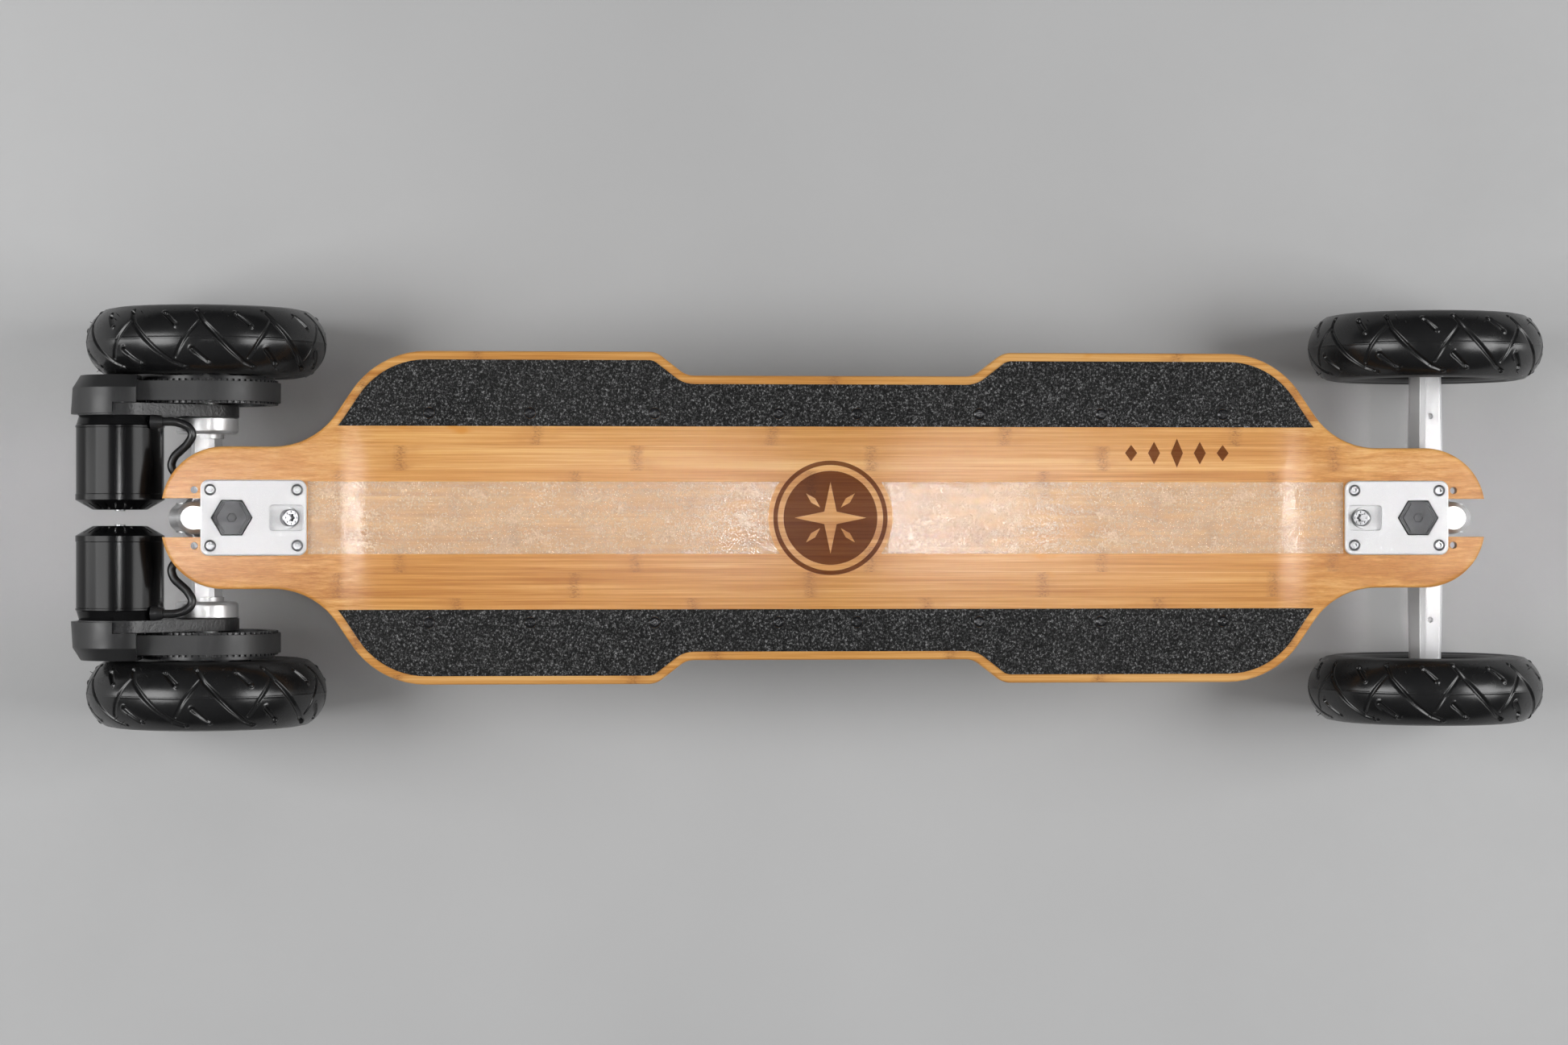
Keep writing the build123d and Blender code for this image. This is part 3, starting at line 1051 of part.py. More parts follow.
def make_cable_run():
    """The fixed length of a motor lead, clipped under the deck from the truck to the controller's box."""
    end = CABLE_JOIN
    points = [(end[0] + 0.6, end[1], end[2]), (-400.0, CABLE_Y, CABLE_Z + 6.0), (-340.0, CABLE_Y, CABLE_Z),
              (REAR_BOX[0] + 12.0, CABLE_Y, CABLE_Z)]
    return round_cable(points, (1, 0, 0), (1, 0, 0))


# ---------------------------------------------------------------- assembly
def wheel_place(end, side):
    """Places a wheel part: end is 1 for front and -1 for rear, side is 1 for left and -1 for right."""
    return OUT * Pos(end * AXLE_X, side * HALF_TRACK, AXLE_Z) * (Rot(0, 0, 0) if side > 0 else Rot(180, 0, 0))


def build_all():
    """Every node by name, each a shape or a list of shapes in row-frame millimetres."""
    parts = {
        "deck": make_deck(),
        "grip_tape": make_grip_tape(),
        "clear_grip": make_clear_grip(),
        "enclosure_bolts": make_enclosure_bolts(),
        "battery_enclosure": make_battery_enclosure(),
        "controller_enclosure": make_esc_enclosure(),
        "enclosure_gaskets": make_gaskets(),
        "battery_cells": make_battery_cells(),
        "cell_busbars": make_busbars(),
        "controller_case": make_controller_case(),
        "circuit_boards": make_circuit_boards(),
        "link_duct": make_link_duct(),
        "panel_fittings": make_panel_fittings(),
        "power_button": make_power_button(),
        "charge_cap": make_charge_cap(),
    }
    base, badge = make_truck_base(), make_truck_badge()
    fasteners, base_kingpin = make_truck_fasteners(), make_base_kingpin()
    both = (FRONT, REAR)
    parts["truck_bases"] = [place * base for place in both]
    parts["truck_badges"] = [place * badge for place in both]
    parts["truck_fasteners"] = [place * s for place in both for s in fasteners]
    parts["base_kingpins"] = [place * s for place in both for s in base_kingpin]
    base_bushes = bushing_pair(BASE_RING, [pivot_cup(BASE_BALL, PIVOT)])
    parts["base_bushings"] = [place * s for place in both for s in base_bushes]
    hanger_cup = pivot_cup(HANGER_BALL, (-PIVOT[0], -PIVOT[1]))
    hanger_bushes = bushing_pair(HANGER_RING, [hanger_cup])
    carrier, hanger_kingpin = make_carrier(), make_hanger_kingpin()
    for end, place in (("front", FRONT), ("rear", REAR)):
        parts[f"{end}_hanger_bushings"] = [place * s for s in hanger_bushes]
        parts[f"{end}_carrier"] = place * carrier
        parts[f"{end}_hanger_kingpin"] = [place * s for s in hanger_kingpin]
        parts[f"{end}_axles"] = [place * s for s in make_axles(23.0)]
    parts["front_hanger"] = FRONT * make_front_hanger()
    parts["rear_hanger"] = REAR * make_rear_hanger()

    drive = {
        "motor_mounts": [make_motor_mount()],
        "mount_screws": make_mount_screws(),
        "belt_covers": [make_belt_cover()],
        "drive_belts": [make_belt()],
        "motor_bases": [make_motor_base()],
        "motor_stators": make_stator(),
        "motor_cables": [make_motor_cable()],
        "power_cables": [make_cable_run()],
    }
    for name, shapes in drive.items():
        parts[name] = [OUT * twin for s in shapes for twin in mirrored(s)]
    parts["power_cables"] += [OUT * lead for lead in make_power_leads()]
    for name, shapes in (("motor_can", make_motor_can()), ("motor_shaft", make_motor_shaft())):
        parts[f"{name}_left"] = [OUT * s for s in shapes]
        parts[f"{name}_right"] = [OUT * mirror(s, Plane.XZ) for s in shapes]

    tyre, hub, bearings, bolts = make_tyre(), make_hub(), make_bearings(), make_wheel_bolts(3.5)
    pulley, pulley_bolts = make_wheel_pulley(), make_pulley_wheel_bolts()
    for end, end_name in ((1, "front"), (-1, "rear")):
        for side, side_name in ((1, "left"), (-1, "right")):
            place, tag = wheel_place(end, side), f"{end_name}_{side_name}"
            parts[f"tyre_{tag}"] = place * tyre
            parts[f"hub_{tag}"] = [place * s for s in hub]
            parts[f"bearings_{tag}"] = [place * s for s in bearings]
            parts[f"wheel_bolts_{tag}"] = [place * s for s in (bolts if end > 0 else pulley_bolts)]
            if end < 0:
                parts[f"wheel_pulley_{side_name}"] = place * pulley
    return parts


def main():
    os.makedirs("parts", exist_ok=True)
    for name, shape in build_all().items():
        shape = as_group(shape if isinstance(shape, list) else [shape])
        export_step(shape, f"parts/{name}.step")


if __name__ == "__main__":
    main()
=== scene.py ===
import json
import math

import bpy
import numpy as np
from mathutils import Matrix, Vector


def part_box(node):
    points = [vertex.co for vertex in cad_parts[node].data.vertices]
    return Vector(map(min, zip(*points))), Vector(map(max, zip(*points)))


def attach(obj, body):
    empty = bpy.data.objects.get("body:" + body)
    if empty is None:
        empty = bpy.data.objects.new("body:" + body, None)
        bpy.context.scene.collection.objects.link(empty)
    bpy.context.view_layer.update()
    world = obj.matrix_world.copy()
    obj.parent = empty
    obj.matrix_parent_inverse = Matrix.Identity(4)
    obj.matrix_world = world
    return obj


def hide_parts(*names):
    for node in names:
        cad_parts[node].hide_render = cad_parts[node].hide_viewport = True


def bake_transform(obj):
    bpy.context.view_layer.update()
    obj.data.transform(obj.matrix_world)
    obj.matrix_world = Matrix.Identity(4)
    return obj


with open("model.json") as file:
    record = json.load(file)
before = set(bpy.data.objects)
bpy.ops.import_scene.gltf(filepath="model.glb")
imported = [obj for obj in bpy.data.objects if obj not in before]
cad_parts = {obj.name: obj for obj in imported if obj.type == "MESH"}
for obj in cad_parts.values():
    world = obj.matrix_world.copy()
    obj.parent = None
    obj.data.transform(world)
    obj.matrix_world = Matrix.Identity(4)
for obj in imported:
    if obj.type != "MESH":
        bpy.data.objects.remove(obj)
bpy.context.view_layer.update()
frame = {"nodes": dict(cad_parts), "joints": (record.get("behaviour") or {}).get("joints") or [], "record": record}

MM = 0.001
NODES = frame["nodes"]
JOINTS = {j["name"]: j for j in frame["joints"]}


# ------------------------------------------------------------------ shader helpers
class Shader:
    """A node material under construction: add() makes a node, and sockets given as inputs are wired to it."""

    def __init__(self, name):
        self.material = bpy.data.materials.new(name)
        self.material.use_nodes = True
        self.tree = self.material.node_tree
        self.tree.nodes.clear()
        self.coords = self.add("ShaderNodeTexCoord").outputs["Object"]

    def add(self, kind, inputs=None, **settings):
        node = self.tree.nodes.new(kind)
        for key, value in settings.items():
            setattr(node, key, value)
        for key, value in (inputs or {}).items():
            if isinstance(value, bpy.types.NodeSocket):
                self.tree.links.new(value, node.inputs[key])
            else:
                node.inputs[key].default_value = value
        return node

    def math(self, operation, a, b=0.0, c=0.0, clamp=False):
        return self.add("ShaderNodeMath", {0: a, 1: b, 2: c}, operation=operation, use_clamp=clamp).outputs[0]

    def stretch(self, scale, turn=(0, 0, 0), shift=(0, 0, 0)):
        sockets = {"Vector": self.coords, "Scale": scale, "Rotation": turn, "Location": shift}
        node = self.add("ShaderNodeMapping", sockets)
        return node.outputs[0]

    def noise(self, scale, detail=3.0, rough=0.55, vector=None):
        """Fractal noise; a tuple stretches it along the axes, a number keeps it even."""
        if isinstance(scale, tuple):
            vector, scale = self.stretch(scale), 1.0
        inputs = {"Vector": vector or self.coords, "Scale": scale, "Detail": detail, "Roughness": rough}
        return self.add("ShaderNodeTexNoise", inputs).outputs["Fac"]

    def ramp(self, fac, *stops):
        """A colour or grey ramp through (position, colour) stops."""
        node = self.add("ShaderNodeValToRGB", {"Fac": fac})
        elements = node.color_ramp.elements
        while len(elements) < len(stops):
            elements.new(0.5)
        for element, (place, colour) in zip(elements, stops):
            element.position = place
            element.color = (*colour, 1.0) if isinstance(colour, tuple) else (colour, colour, colour, 1.0)
        return node.outputs["Color"]

    def remap(self, value, low, high, to_low=0.0, to_high=1.0):
        inputs = {"Value": value, "From Min": low, "From Max": high, "To Min": to_low, "To Max": to_high}
        return self.add("ShaderNodeMapRange", inputs, clamp=True).outputs[0]

    def mix(self, fac, a, b, blend="MIX"):
        node = self.add("ShaderNodeMix", data_type="RGBA", blend_type=blend)
        for key, value in ((0, fac), (6, a), (7, b)):
            if isinstance(value, bpy.types.NodeSocket):
                self.tree.links.new(value, node.inputs[key])
            elif isinstance(value, tuple):
                node.inputs[key].default_value = (*value, 1.0)
            else:
                node.inputs[key].default_value = value
        return node.outputs[2]

    def bump(self, height, depth, strength=1.0, normal=None):
        inputs = {"Height": height, "Distance": depth, "Strength": strength}
        if normal is not None:
            inputs["Normal"] = normal
        return self.add("ShaderNodeBump", inputs).outputs[0]

    def soft_edge(self, radius, samples=4):
        return self.add("ShaderNodeBevel", {"Radius": radius}, samples=samples).outputs[0]

    def edge_mask(self, radius, low=0.05, high=0.22):
        """One where the surface turns sharply within the radius, nothing on flat faces."""
        geometry = self.add("ShaderNodeNewGeometry")
        dot = self.add("ShaderNodeVectorMath", {0: self.soft_edge(radius), 1: geometry.outputs["Normal"]},
                       operation="DOT_PRODUCT").outputs["Value"]
        return self.remap(self.math("SUBTRACT", 1.0, dot), low, high)

    def finish(self, **inputs):
        shader = self.add("ShaderNodeBsdfPrincipled")
        for key, value in inputs.items():
            socket = shader.inputs[key.replace("_", " ")]
            if isinstance(value, bpy.types.NodeSocket):
                self.tree.links.new(value, socket)
            elif isinstance(value, tuple) and len(value) == 3 and socket.type == "RGBA":
                socket.default_value = (*value, 1.0)
            else:
                socket.default_value = value
        output = self.add("ShaderNodeOutputMaterial")
        self.tree.links.new(shader.outputs[0], output.inputs["Surface"])
        self.shader, self.output = shader, output
        return self.material


# ------------------------------------------------------------------ materials
STRIP = 19.0 * MM           # width of one bamboo strip
KNOT_GAP = 0.176            # from one joint of the cane to the next along a strip


def bamboo(name, stain=None):
    """Lacquered bamboo: strips along X with their own tint, fine fibres, joints and amber resin marks."""
    s = Shader(name)
    split = s.add("ShaderNodeSeparateXYZ", {0: s.coords})
    x, y, z = split.outputs
    across_strip = s.math("ADD", s.math("DIVIDE", y, STRIP), 0.15)
    band = s.math("FLOOR", across_strip)
    tint = s.add("ShaderNodeTexWhiteNoise", {"W": band}, noise_dimensions="1D").outputs["Value"]
    other_band = s.math("ADD", band, 40.5)
    hue = s.add("ShaderNodeTexWhiteNoise", {"W": other_band}, noise_dimensions="1D").outputs["Value"]
    shifted_x = s.math("ADD", x, s.math("MULTIPLY", tint, 3.0))
    shifted = s.add("ShaderNodeCombineXYZ", {0: shifted_x, 1: y, 2: z}).outputs[0]

    def streaks(along, across, detail, rough):
        vector = s.add("ShaderNodeMapping", {"Vector": shifted, "Scale": (along, across, across)}).outputs[0]
        return s.noise(1.0, detail, rough, vector)

    fibre = streaks(12.0, 1500.0, 4.0, 0.65)
    streak = streaks(4.5, 330.0, 5.0, 0.68)
    broad = streaks(3.2, 60.0, 3.0, 0.5)
    tone = s.math("ADD", s.math("MULTIPLY", streak, 0.60), s.math("MULTIPLY", broad, 0.32))
    tone = s.math("ADD", tone, s.math("MULTIPLY", s.math("SUBTRACT", tint, 0.5), 0.07))
    tone = s.math("ADD", tone, s.math("MULTIPLY", fibre, 0.30))
    colour = s.ramp(tone, (0.46, (0.420, 0.165, 0.036)), (0.56, (0.545, 0.246, 0.060)),
                    (0.64, (0.640, 0.318, 0.090)), (0.76, (0.755, 0.438, 0.162)))
    colour = s.mix(1.0, colour, s.ramp(hue, (0.0, (0.99, 0.97, 0.92)), (1.0, (1.0, 1.0, 1.0))), "MULTIPLY")

    place = s.math("FRACT", s.math("ADD", s.math("DIVIDE", x, KNOT_GAP), s.math("MULTIPLY", tint, 17.3)))
    wobble = s.math("MULTIPLY", s.math("SUBTRACT", s.noise((1.0, 110.0, 1.0), 2.0), 0.5), 0.035)
    away = s.math("ABSOLUTE", s.math("ADD", s.math("SUBTRACT", place, 0.5), wobble))
    line = s.remap(away, 0.006, 0.036, 1.0, 0.0)
    fleck = s.remap(s.noise((420.0, 1000.0, 1.0), 3.0, 0.75), 0.46, 0.62)
    joint = s.math("MULTIPLY", line, s.math("ADD", s.math("MULTIPLY", fleck, 0.62), 0.16))
    halo_noise = s.remap(s.noise((50.0, 120.0, 1.0), 3.0), 0.40, 0.68)
    halo = s.math("MULTIPLY", s.remap(away, 0.01, 0.12, 1.0, 0.0), halo_noise)
    colour = s.mix(s.math("MULTIPLY", halo, 0.60), colour, (0.470, 0.200, 0.052))
    colour = s.mix(joint, colour, (0.270, 0.110, 0.036))

    seam = s.remap(s.math("ABSOLUTE", s.math("SUBTRACT", s.math("FRACT", across_strip), 0.5)), 0.480, 0.5)
    colour = s.mix(s.math("MULTIPLY", seam, 0.30), colour, (0.42, 0.19, 0.06))

    resin = s.remap(s.noise((8.0, 24.0, 1.0), 4.0, 0.6), 0.655, 0.70)
    colour = s.mix(s.math("MULTIPLY", resin, 0.62), colour, (0.600, 0.225, 0.012))

    normal = s.add("ShaderNodeNewGeometry").outputs["Normal"]
    facing = s.math("ABSOLUTE", s.add("ShaderNodeSeparateXYZ", {0: normal}).outputs[2])
    ply = s.math("FRACT", s.math("DIVIDE", z, 2.4 * MM))
    ply_line = s.remap(s.math("ABSOLUTE", s.math("SUBTRACT", ply, 0.5)), 0.38, 0.5)
    edge_base = s.mix(0.35, colour, (0.60, 0.33, 0.13))
    edge_colour = s.mix(s.math("MULTIPLY", ply_line, 0.55), edge_base, (0.20, 0.085, 0.028))
    colour = s.mix(s.remap(facing, 0.45, 0.75, 1.0, 0.0), colour, edge_colour)
    if stain:
        colour = s.mix(0.93, colour, stain, "MULTIPLY")
    rub = s.noise(7.0, 3.0)
    roughness = s.remap(rub, 0.3, 0.7, 0.30, 0.42)
    bump = s.bump(s.math("ADD", fibre, s.math("MULTIPLY", joint, -1.2)), 0.00006, 0.6, s.soft_edge(1.2 * MM))
    gloss = 0.05 if stain else 0.20
    return s.finish(Base_Color=colour, Roughness=roughness, Normal=bump, Coat_Weight=gloss,
                    Coat_Roughness=0.18, Specular_IOR_Level=gloss * 0.9)


def grit(name, clear=False):
    """Abrasive grains under a millimetre across, each with its own tilt and brightness."""
    s = Shader(name)
    vector = s.stretch((1.0, 0.70, 1.0), (0, 0, math.radians(-58)))
    cells = s.add("ShaderNodeTexVoronoi", {"Vector": vector, "Scale": 1500.0, "Randomness": 1.0})
    grain = s.add("ShaderNodeSeparateColor", {0: cells.outputs["Color"]}).outputs[0]
    clump = s.noise(560.0, 3.0, 0.75)
    value = s.math("ADD", s.math("MULTIPLY", grain, 0.34), s.remap(clump, 0.30, 0.70, 0.0, 0.66))
    height = s.math("SUBTRACT", value, s.math("MULTIPLY", cells.outputs["Distance"], 0.8))
    if clear:
        haze = s.noise((40.0, 90.0, 1.0), 4.0)
        colour = s.ramp(value, (0.2, (0.52, 0.385, 0.275)), (0.6, (0.63, 0.490, 0.365)),
                        (0.9, (0.88, 0.75, 0.61)))
        bump = s.bump(height, 0.0003, 0.25)
        s.finish(Base_Color=colour, Roughness=0.5, Normal=bump, Coat_Weight=0.06, Specular_IOR_Level=0.3)
        see_through = s.add("ShaderNodeBsdfTransparent")
        up = s.add("ShaderNodeSeparateXYZ", {0: s.add("ShaderNodeNewGeometry").outputs["Normal"]}).outputs[2]
        lit = s.math("SUBTRACT", 1.0, s.add("ShaderNodeLightPath").outputs["Is Shadow Ray"])
        share = s.math("MULTIPLY", s.remap(haze, 0.3, 0.7, 0.30, 0.44), s.remap(up, 0.80, 0.90))
        blend = s.add("ShaderNodeMixShader", {0: s.math("MULTIPLY", share, lit), 1: see_through.outputs[0],
                                              2: s.shader.outputs[0]})
        s.tree.links.new(blend.outputs[0], s.output.inputs["Surface"])
        return s.material
    wear = s.noise(9.0, 3.0)
    colour = s.ramp(value, (0.25, 0.0015), (0.46, 0.006), (0.58, 0.020), (0.70, 0.072), (0.88, 0.27))
    dust = s.remap(wear, 0.45, 0.75, 0.0, 0.12)
    colour = s.mix(dust, colour, (0.050, 0.049, 0.047))
    bump = s.bump(height, 0.0006, 0.7)
    roughness = s.remap(value, 0.3, 0.9, 0.8, 0.4)
    return s.finish(Base_Color=colour, Roughness=roughness, Normal=bump, Specular_IOR_Level=0.28)


def metal(name, colour, rough, grain=0.0, brushed=None, edge=0.5 * MM, wear=0.35, spread=0.06, grime=0.0,
          metallic=1.0):
    """Bare metal: slightly uneven tone, blasted or brushed grain, edges rubbed brighter and smoother."""
    s = Shader(name)
    cloud = s.noise(22.0, 4.0)
    tone = s.remap(cloud, 0.3, 0.7, 1.0 - spread, 1.0)
    base = s.mix(1.0, colour, s.ramp(tone, (0.0, 0.0), (1.0, 1.0)), "MULTIPLY")
    rub = s.edge_mask(edge * 1.6)
    base = s.mix(s.math("MULTIPLY", rub, wear), base, tuple(min(1.0, c * 1.35 + 0.06) for c in colour))
    if grime:
        dirt = s.remap(s.noise(60.0, 5.0, 0.7), 0.50, 0.75, 0.0, grime)
        base = s.mix(dirt, base, (0.06, 0.055, 0.05))
    roughness = s.remap(s.noise(90.0, 3.0), 0.3, 0.7, rough * 0.85, rough * 1.2)
    roughness = s.math("SUBTRACT", roughness, s.math("MULTIPLY", rub, rough * 0.25))
    normal = s.soft_edge(edge)
    if grain:
        normal = s.bump(s.noise(2600.0, 2.0), grain, 0.6, normal)
    if brushed:
        normal = s.bump(s.noise(brushed, 2.0), 0.00003, 0.5, normal)
    return s.finish(Base_Color=base, Metallic=metallic, Roughness=roughness, Normal=normal)


def coated(name, colour, rough, grain=0.00004, scale=2200.0, edge=0.6 * MM, coat=0.0, wear=0.5,
           metallic=0.0, dust=0.15):
    """Painted, moulded or anodised black: fine grain, faint dust, edges polished a little lighter."""
    s = Shader(name)
    cloud = s.noise(16.0, 4.0)
    base = s.mix(s.remap(cloud, 0.35, 0.75, 0.0, dust), colour, tuple(c * 1.8 + 0.03 for c in colour))
    rub = s.edge_mask(edge * 1.5)
    base = s.mix(s.math("MULTIPLY", rub, wear), base, tuple(c * 2.2 + 0.03 for c in colour))
    roughness = s.remap(s.noise(70.0, 4.0, 0.65), 0.3, 0.7, rough * 0.82, rough * 1.22)
    normal = s.bump(s.noise(scale, 2.0), grain, 0.5, s.soft_edge(edge))
    return s.finish(Base_Color=base, Roughness=roughness, Normal=normal, Metallic=metallic, Coat_Weight=coat,
                    Coat_Roughness=0.12, Specular_IOR_Level=0.45)


def satin_black(name, colour=(0.0045, 0.0045, 0.0048), rough=0.19):
    """Smooth anodised black with no visible grain."""
    s = Shader(name)
    cloud = s.remap(s.noise(11.0, 2.0), 0.3, 0.7, rough * 0.92, rough * 1.1)
    normal = s.soft_edge(0.3 * MM, 3)
    return s.finish(Base_Color=colour, Roughness=cloud, Normal=normal, Specular_IOR_Level=0.17)


def tyre_rubber(name):
    """Moulded tyre rubber: polished crown, duller sidewall, faint flow marks, painted shade in the grooves and a
    painted highlight on their lips.
    """
    s = Shader(name)
    split = s.add("ShaderNodeSeparateXYZ", {0: s.coords})
    x, _, z = split.outputs
    radius = s.math("SQRT", s.math("ADD", s.math("MULTIPLY", x, x), s.math("MULTIPLY", z, z)))
    flow = s.noise(60.0, 5.0, 0.65)
    fine = s.noise(900.0, 3.0)
    cavity = s.add("ShaderNodeNewGeometry").outputs["Pointiness"]
    shaded_groove = s.remap(cavity, 0.42, 0.50, 1.0, 0.0)
    highlit_ridge = s.remap(cavity, 0.51, 0.58)
    base = s.mix(s.remap(flow, 0.4, 0.75, 0.0, 0.35), (0.0055, 0.0055, 0.0058), (0.013, 0.0128, 0.0125))
    # painted shade: the hollow grooves are darkened almost to black
    base = s.mix(s.math("MULTIPLY", shaded_groove, 0.6), base, (0.002, 0.002, 0.002))
    # painted highlight: the raised lips beside the grooves are lightened
    base = s.mix(s.math("MULTIPLY", highlit_ridge, 0.30), base, (0.040, 0.039, 0.038))
    sidewall = s.remap(radius, 0.070, 0.080, 1.0, 0.0)
    roughness = s.math("ADD", s.remap(flow, 0.3, 0.75, 0.20, 0.31), s.math("MULTIPLY", sidewall, 0.14))
    roughness = s.math("ADD", roughness, s.math("MULTIPLY", shaded_groove, 0.15))
    bump = s.bump(s.math("ADD", fine, s.math("MULTIPLY", flow, 2.0)), 0.00005, 0.4)
    return s.finish(Base_Color=base, Roughness=roughness, Normal=bump, Specular_IOR_Level=0.50)


def rubber(name, colour=(0.02, 0.02, 0.021), rough=0.6, translucent=0.0):
    """Soft rubber or urethane with a fine matt grain."""
    s = Shader(name)
    cloud = s.noise(40.0, 4.0)
    base = s.mix(s.remap(cloud, 0.4, 0.75, 0.0, 0.3), colour, tuple(c * 1.6 + 0.012 for c in colour))
    normal = s.bump(s.noise(1500.0, 3.0), 0.00006, 0.5, s.soft_edge(0.5 * MM))
    roughness = s.remap(cloud, 0.3, 0.7, rough * 0.85, rough * 1.15)
    return s.finish(Base_Color=base, Roughness=roughness, Normal=normal, Subsurface_Weight=translucent,
                    Subsurface_Radius=(0.002, 0.002, 0.002))


def winding(name):
    """Enamelled copper wire between steel laminations."""
    s = Shader(name)
    sockets = {"Vector": s.coords, "Scale": 420.0, "Distortion": 0.4}
    wave = s.add("ShaderNodeTexWave", sockets, bands_direction="Y").outputs["Fac"]
    colour = s.mix(wave, (0.32, 0.12, 0.045), (0.60, 0.27, 0.11))
    return s.finish(Base_Color=colour, Metallic=1.0, Roughness=0.34, Normal=s.bump(wave, 0.0003, 0.6))


def circuit(name):
    """Green solder mask with paler tracks and pads."""
    s = Shader(name)
    brick = s.add("ShaderNodeTexBrick", {"Vector": s.coords, "Scale": 260.0, "Mortar Size": 0.08})
    mask = s.math("MULTIPLY", brick.outputs["Fac"], s.remap(s.noise(70.0, 2.0), 0.48, 0.52))
    colour = s.mix(mask, (0.012, 0.085, 0.035), (0.45, 0.42, 0.30))
    return s.finish(Base_Color=colour, Roughness=0.35, Coat_Weight=0.3, Normal=s.bump(mask, 0.0001, 0.5))


MATERIALS = {
    "bamboo": bamboo("bamboo"),
    "grit": grit("black_grit"),
    "clear_grit": grit("clear_grit", clear=True),
    "shell_black": coated("shell_black", (0.017, 0.017, 0.0175), 0.36, 0.00003, 1700.0, wear=0.2, dust=0.05),
    "steel": metal("steel", (0.36, 0.36, 0.37), 0.34, edge=0.35 * MM, spread=0.15, grime=0.35, wear=0.6),
    "black_steel": coated("black_steel", (0.010, 0.010, 0.011), 0.24, metallic=0.4, coat=0.3, edge=0.3 * MM),
    "silver_alloy": metal("silver_alloy", (0.74, 0.74, 0.742), 0.48, grain=0.00030, edge=0.6 * MM,
                          spread=0.02, metallic=0.5),
    "forged_alloy": metal("forged_alloy", (0.86, 0.86, 0.865), 0.38, grain=0.00008, edge=0.5 * MM, wear=0.15,
                          spread=0.03, metallic=0.85),
    "badge_metal": metal("badge_metal", (0.060, 0.060, 0.062), 0.34, grain=0.00006, edge=0.3 * MM, wear=0.8),
    "black_alloy": coated("black_alloy", (0.016, 0.016, 0.017), 0.33, 0.00050, 520.0, wear=0.9),
    "seal_rubber": rubber("seal_rubber"),
    "cell_wrap": coated("cell_wrap", (0.02, 0.16, 0.075), 0.32, coat=0.4, edge=0.4 * MM),
    "nickel": metal("nickel", (0.66, 0.62, 0.54), 0.30, brushed=(30.0, 30.0, 1500.0), edge=0.1 * MM),
    "board_green": circuit("board_green"),
    "urethane": rubber("urethane", (0.035, 0.035, 0.038), 0.34, translucent=0.1),
    "tyre_rubber": tyre_rubber("tyre_rubber"),
    "bearing_steel": metal("bearing_steel", (0.70, 0.70, 0.72), 0.18, edge=0.25 * MM),
    "pulley_black": coated("pulley_black", (0.013, 0.013, 0.014), 0.30, 0.00003, 1800.0, edge=0.25 * MM,
                           wear=0.6),
    "belt_rubber": rubber("belt_rubber", (0.030, 0.030, 0.0305), 0.45),
    "motor_black": satin_black("motor_black"),
    "stator": winding("stator"),
    "hub_black": coated("hub_black", (0.020, 0.020, 0.021), 0.32, 0.00005, 1500.0, metallic=0.5),
    "cable_black": rubber("cable_black", (0.010, 0.010, 0.0105), 0.32),
}

SLOT_OF = {part["node"]: part["material_slot"] for part in frame["record"]["subparts"]}


def paint(obj, material):
    obj.data.materials.clear()
    obj.data.materials.append(material)


def shade_smooth(obj, degrees=34.0):
    """Smooth shading that keeps edges sharper than the angle."""
    mesh = obj.data
    mesh.polygons.foreach_set("use_smooth", [True] * len(mesh.polygons))
    mesh.set_sharp_from_angle(angle=math.radians(degrees))


for node_name, node_object in NODES.items():
    paint(node_object, MATERIALS[SLOT_OF[node_name]])

# a hair's breadth keeps the see-through strip's lower face off the wood
lift = NODES["clear_grip"].modifiers.new("lift", "DISPLACE")
lift.direction, lift.mid_level, lift.strength = "Z", 0.0, 0.03 * MM


# ------------------------------------------------------------------ mesh helpers
def new_object(name, vertices, faces, slot, smooth=34.0):
    mesh = bpy.data.meshes.new(name)
    mesh.from_pydata([tuple(v) for v in vertices], [], [tuple(f) for f in faces])
    mesh.validate()
    mesh.update()
    obj = bpy.data.objects.new(name, mesh)
    bpy.context.scene.collection.objects.link(obj)
    paint(obj, MATERIALS[slot])
    if smooth:
        shade_smooth(obj, smooth)
    return obj


def grid_faces(rows, columns, close_rows=False, close_columns=False):
    faces = []
    for i in range(rows if close_rows else rows - 1):
        for j in range(columns if close_columns else columns - 1):
            a, b = i * columns + j, i * columns + (j + 1) % columns
            c, d = ((i + 1) % rows) * columns + (j + 1) % columns, ((i + 1) % rows) * columns + j
            faces.append((a, b, c, d))
    return faces


def tube(name, points, radius, slot, sides=20, steps=14):
    """A round tube along a smooth curve through the points, capped at both ends."""
    points = [np.array(p, float) for p in points]
    padded = [2 * points[0] - points[1]] + points + [2 * points[-1] - points[-2]]
    path = []
    for i in range(1, len(padded) - 2):
        for k in range(steps):
            t = k / steps
            p0, p1, p2, p3 = padded[i - 1:i + 3]
            path.append(0.5 * (2 * p1 + (p2 - p0) * t + (2 * p0 - 5 * p1 + 4 * p2 - p3) * t ** 2
                               + (3 * p1 - p0 - 3 * p2 + p3) * t ** 3))
    path.append(points[-1])
    path = np.array(path)
    ways = np.gradient(path, axis=0)
    ways /= np.linalg.norm(ways, axis=1)[:, None]
    side = np.cross(ways[0], (0, 0, 1.0))
    vertices = []
    for p, w in zip(path, ways):
        side = side - w * (side @ w)
        side /= np.linalg.norm(side)
        up = np.cross(w, side)
        for k in range(sides):
            a = 2 * math.pi * k / sides
            vertices.append(p + radius * (math.cos(a) * side + math.sin(a) * up))
    faces = grid_faces(len(path), sides, close_columns=True)
    faces.append(tuple(range(sides)))
    faces.append(tuple(reversed(range(len(vertices) - sides, len(vertices)))))
    return new_object(name, vertices, faces, slot, 50.0)


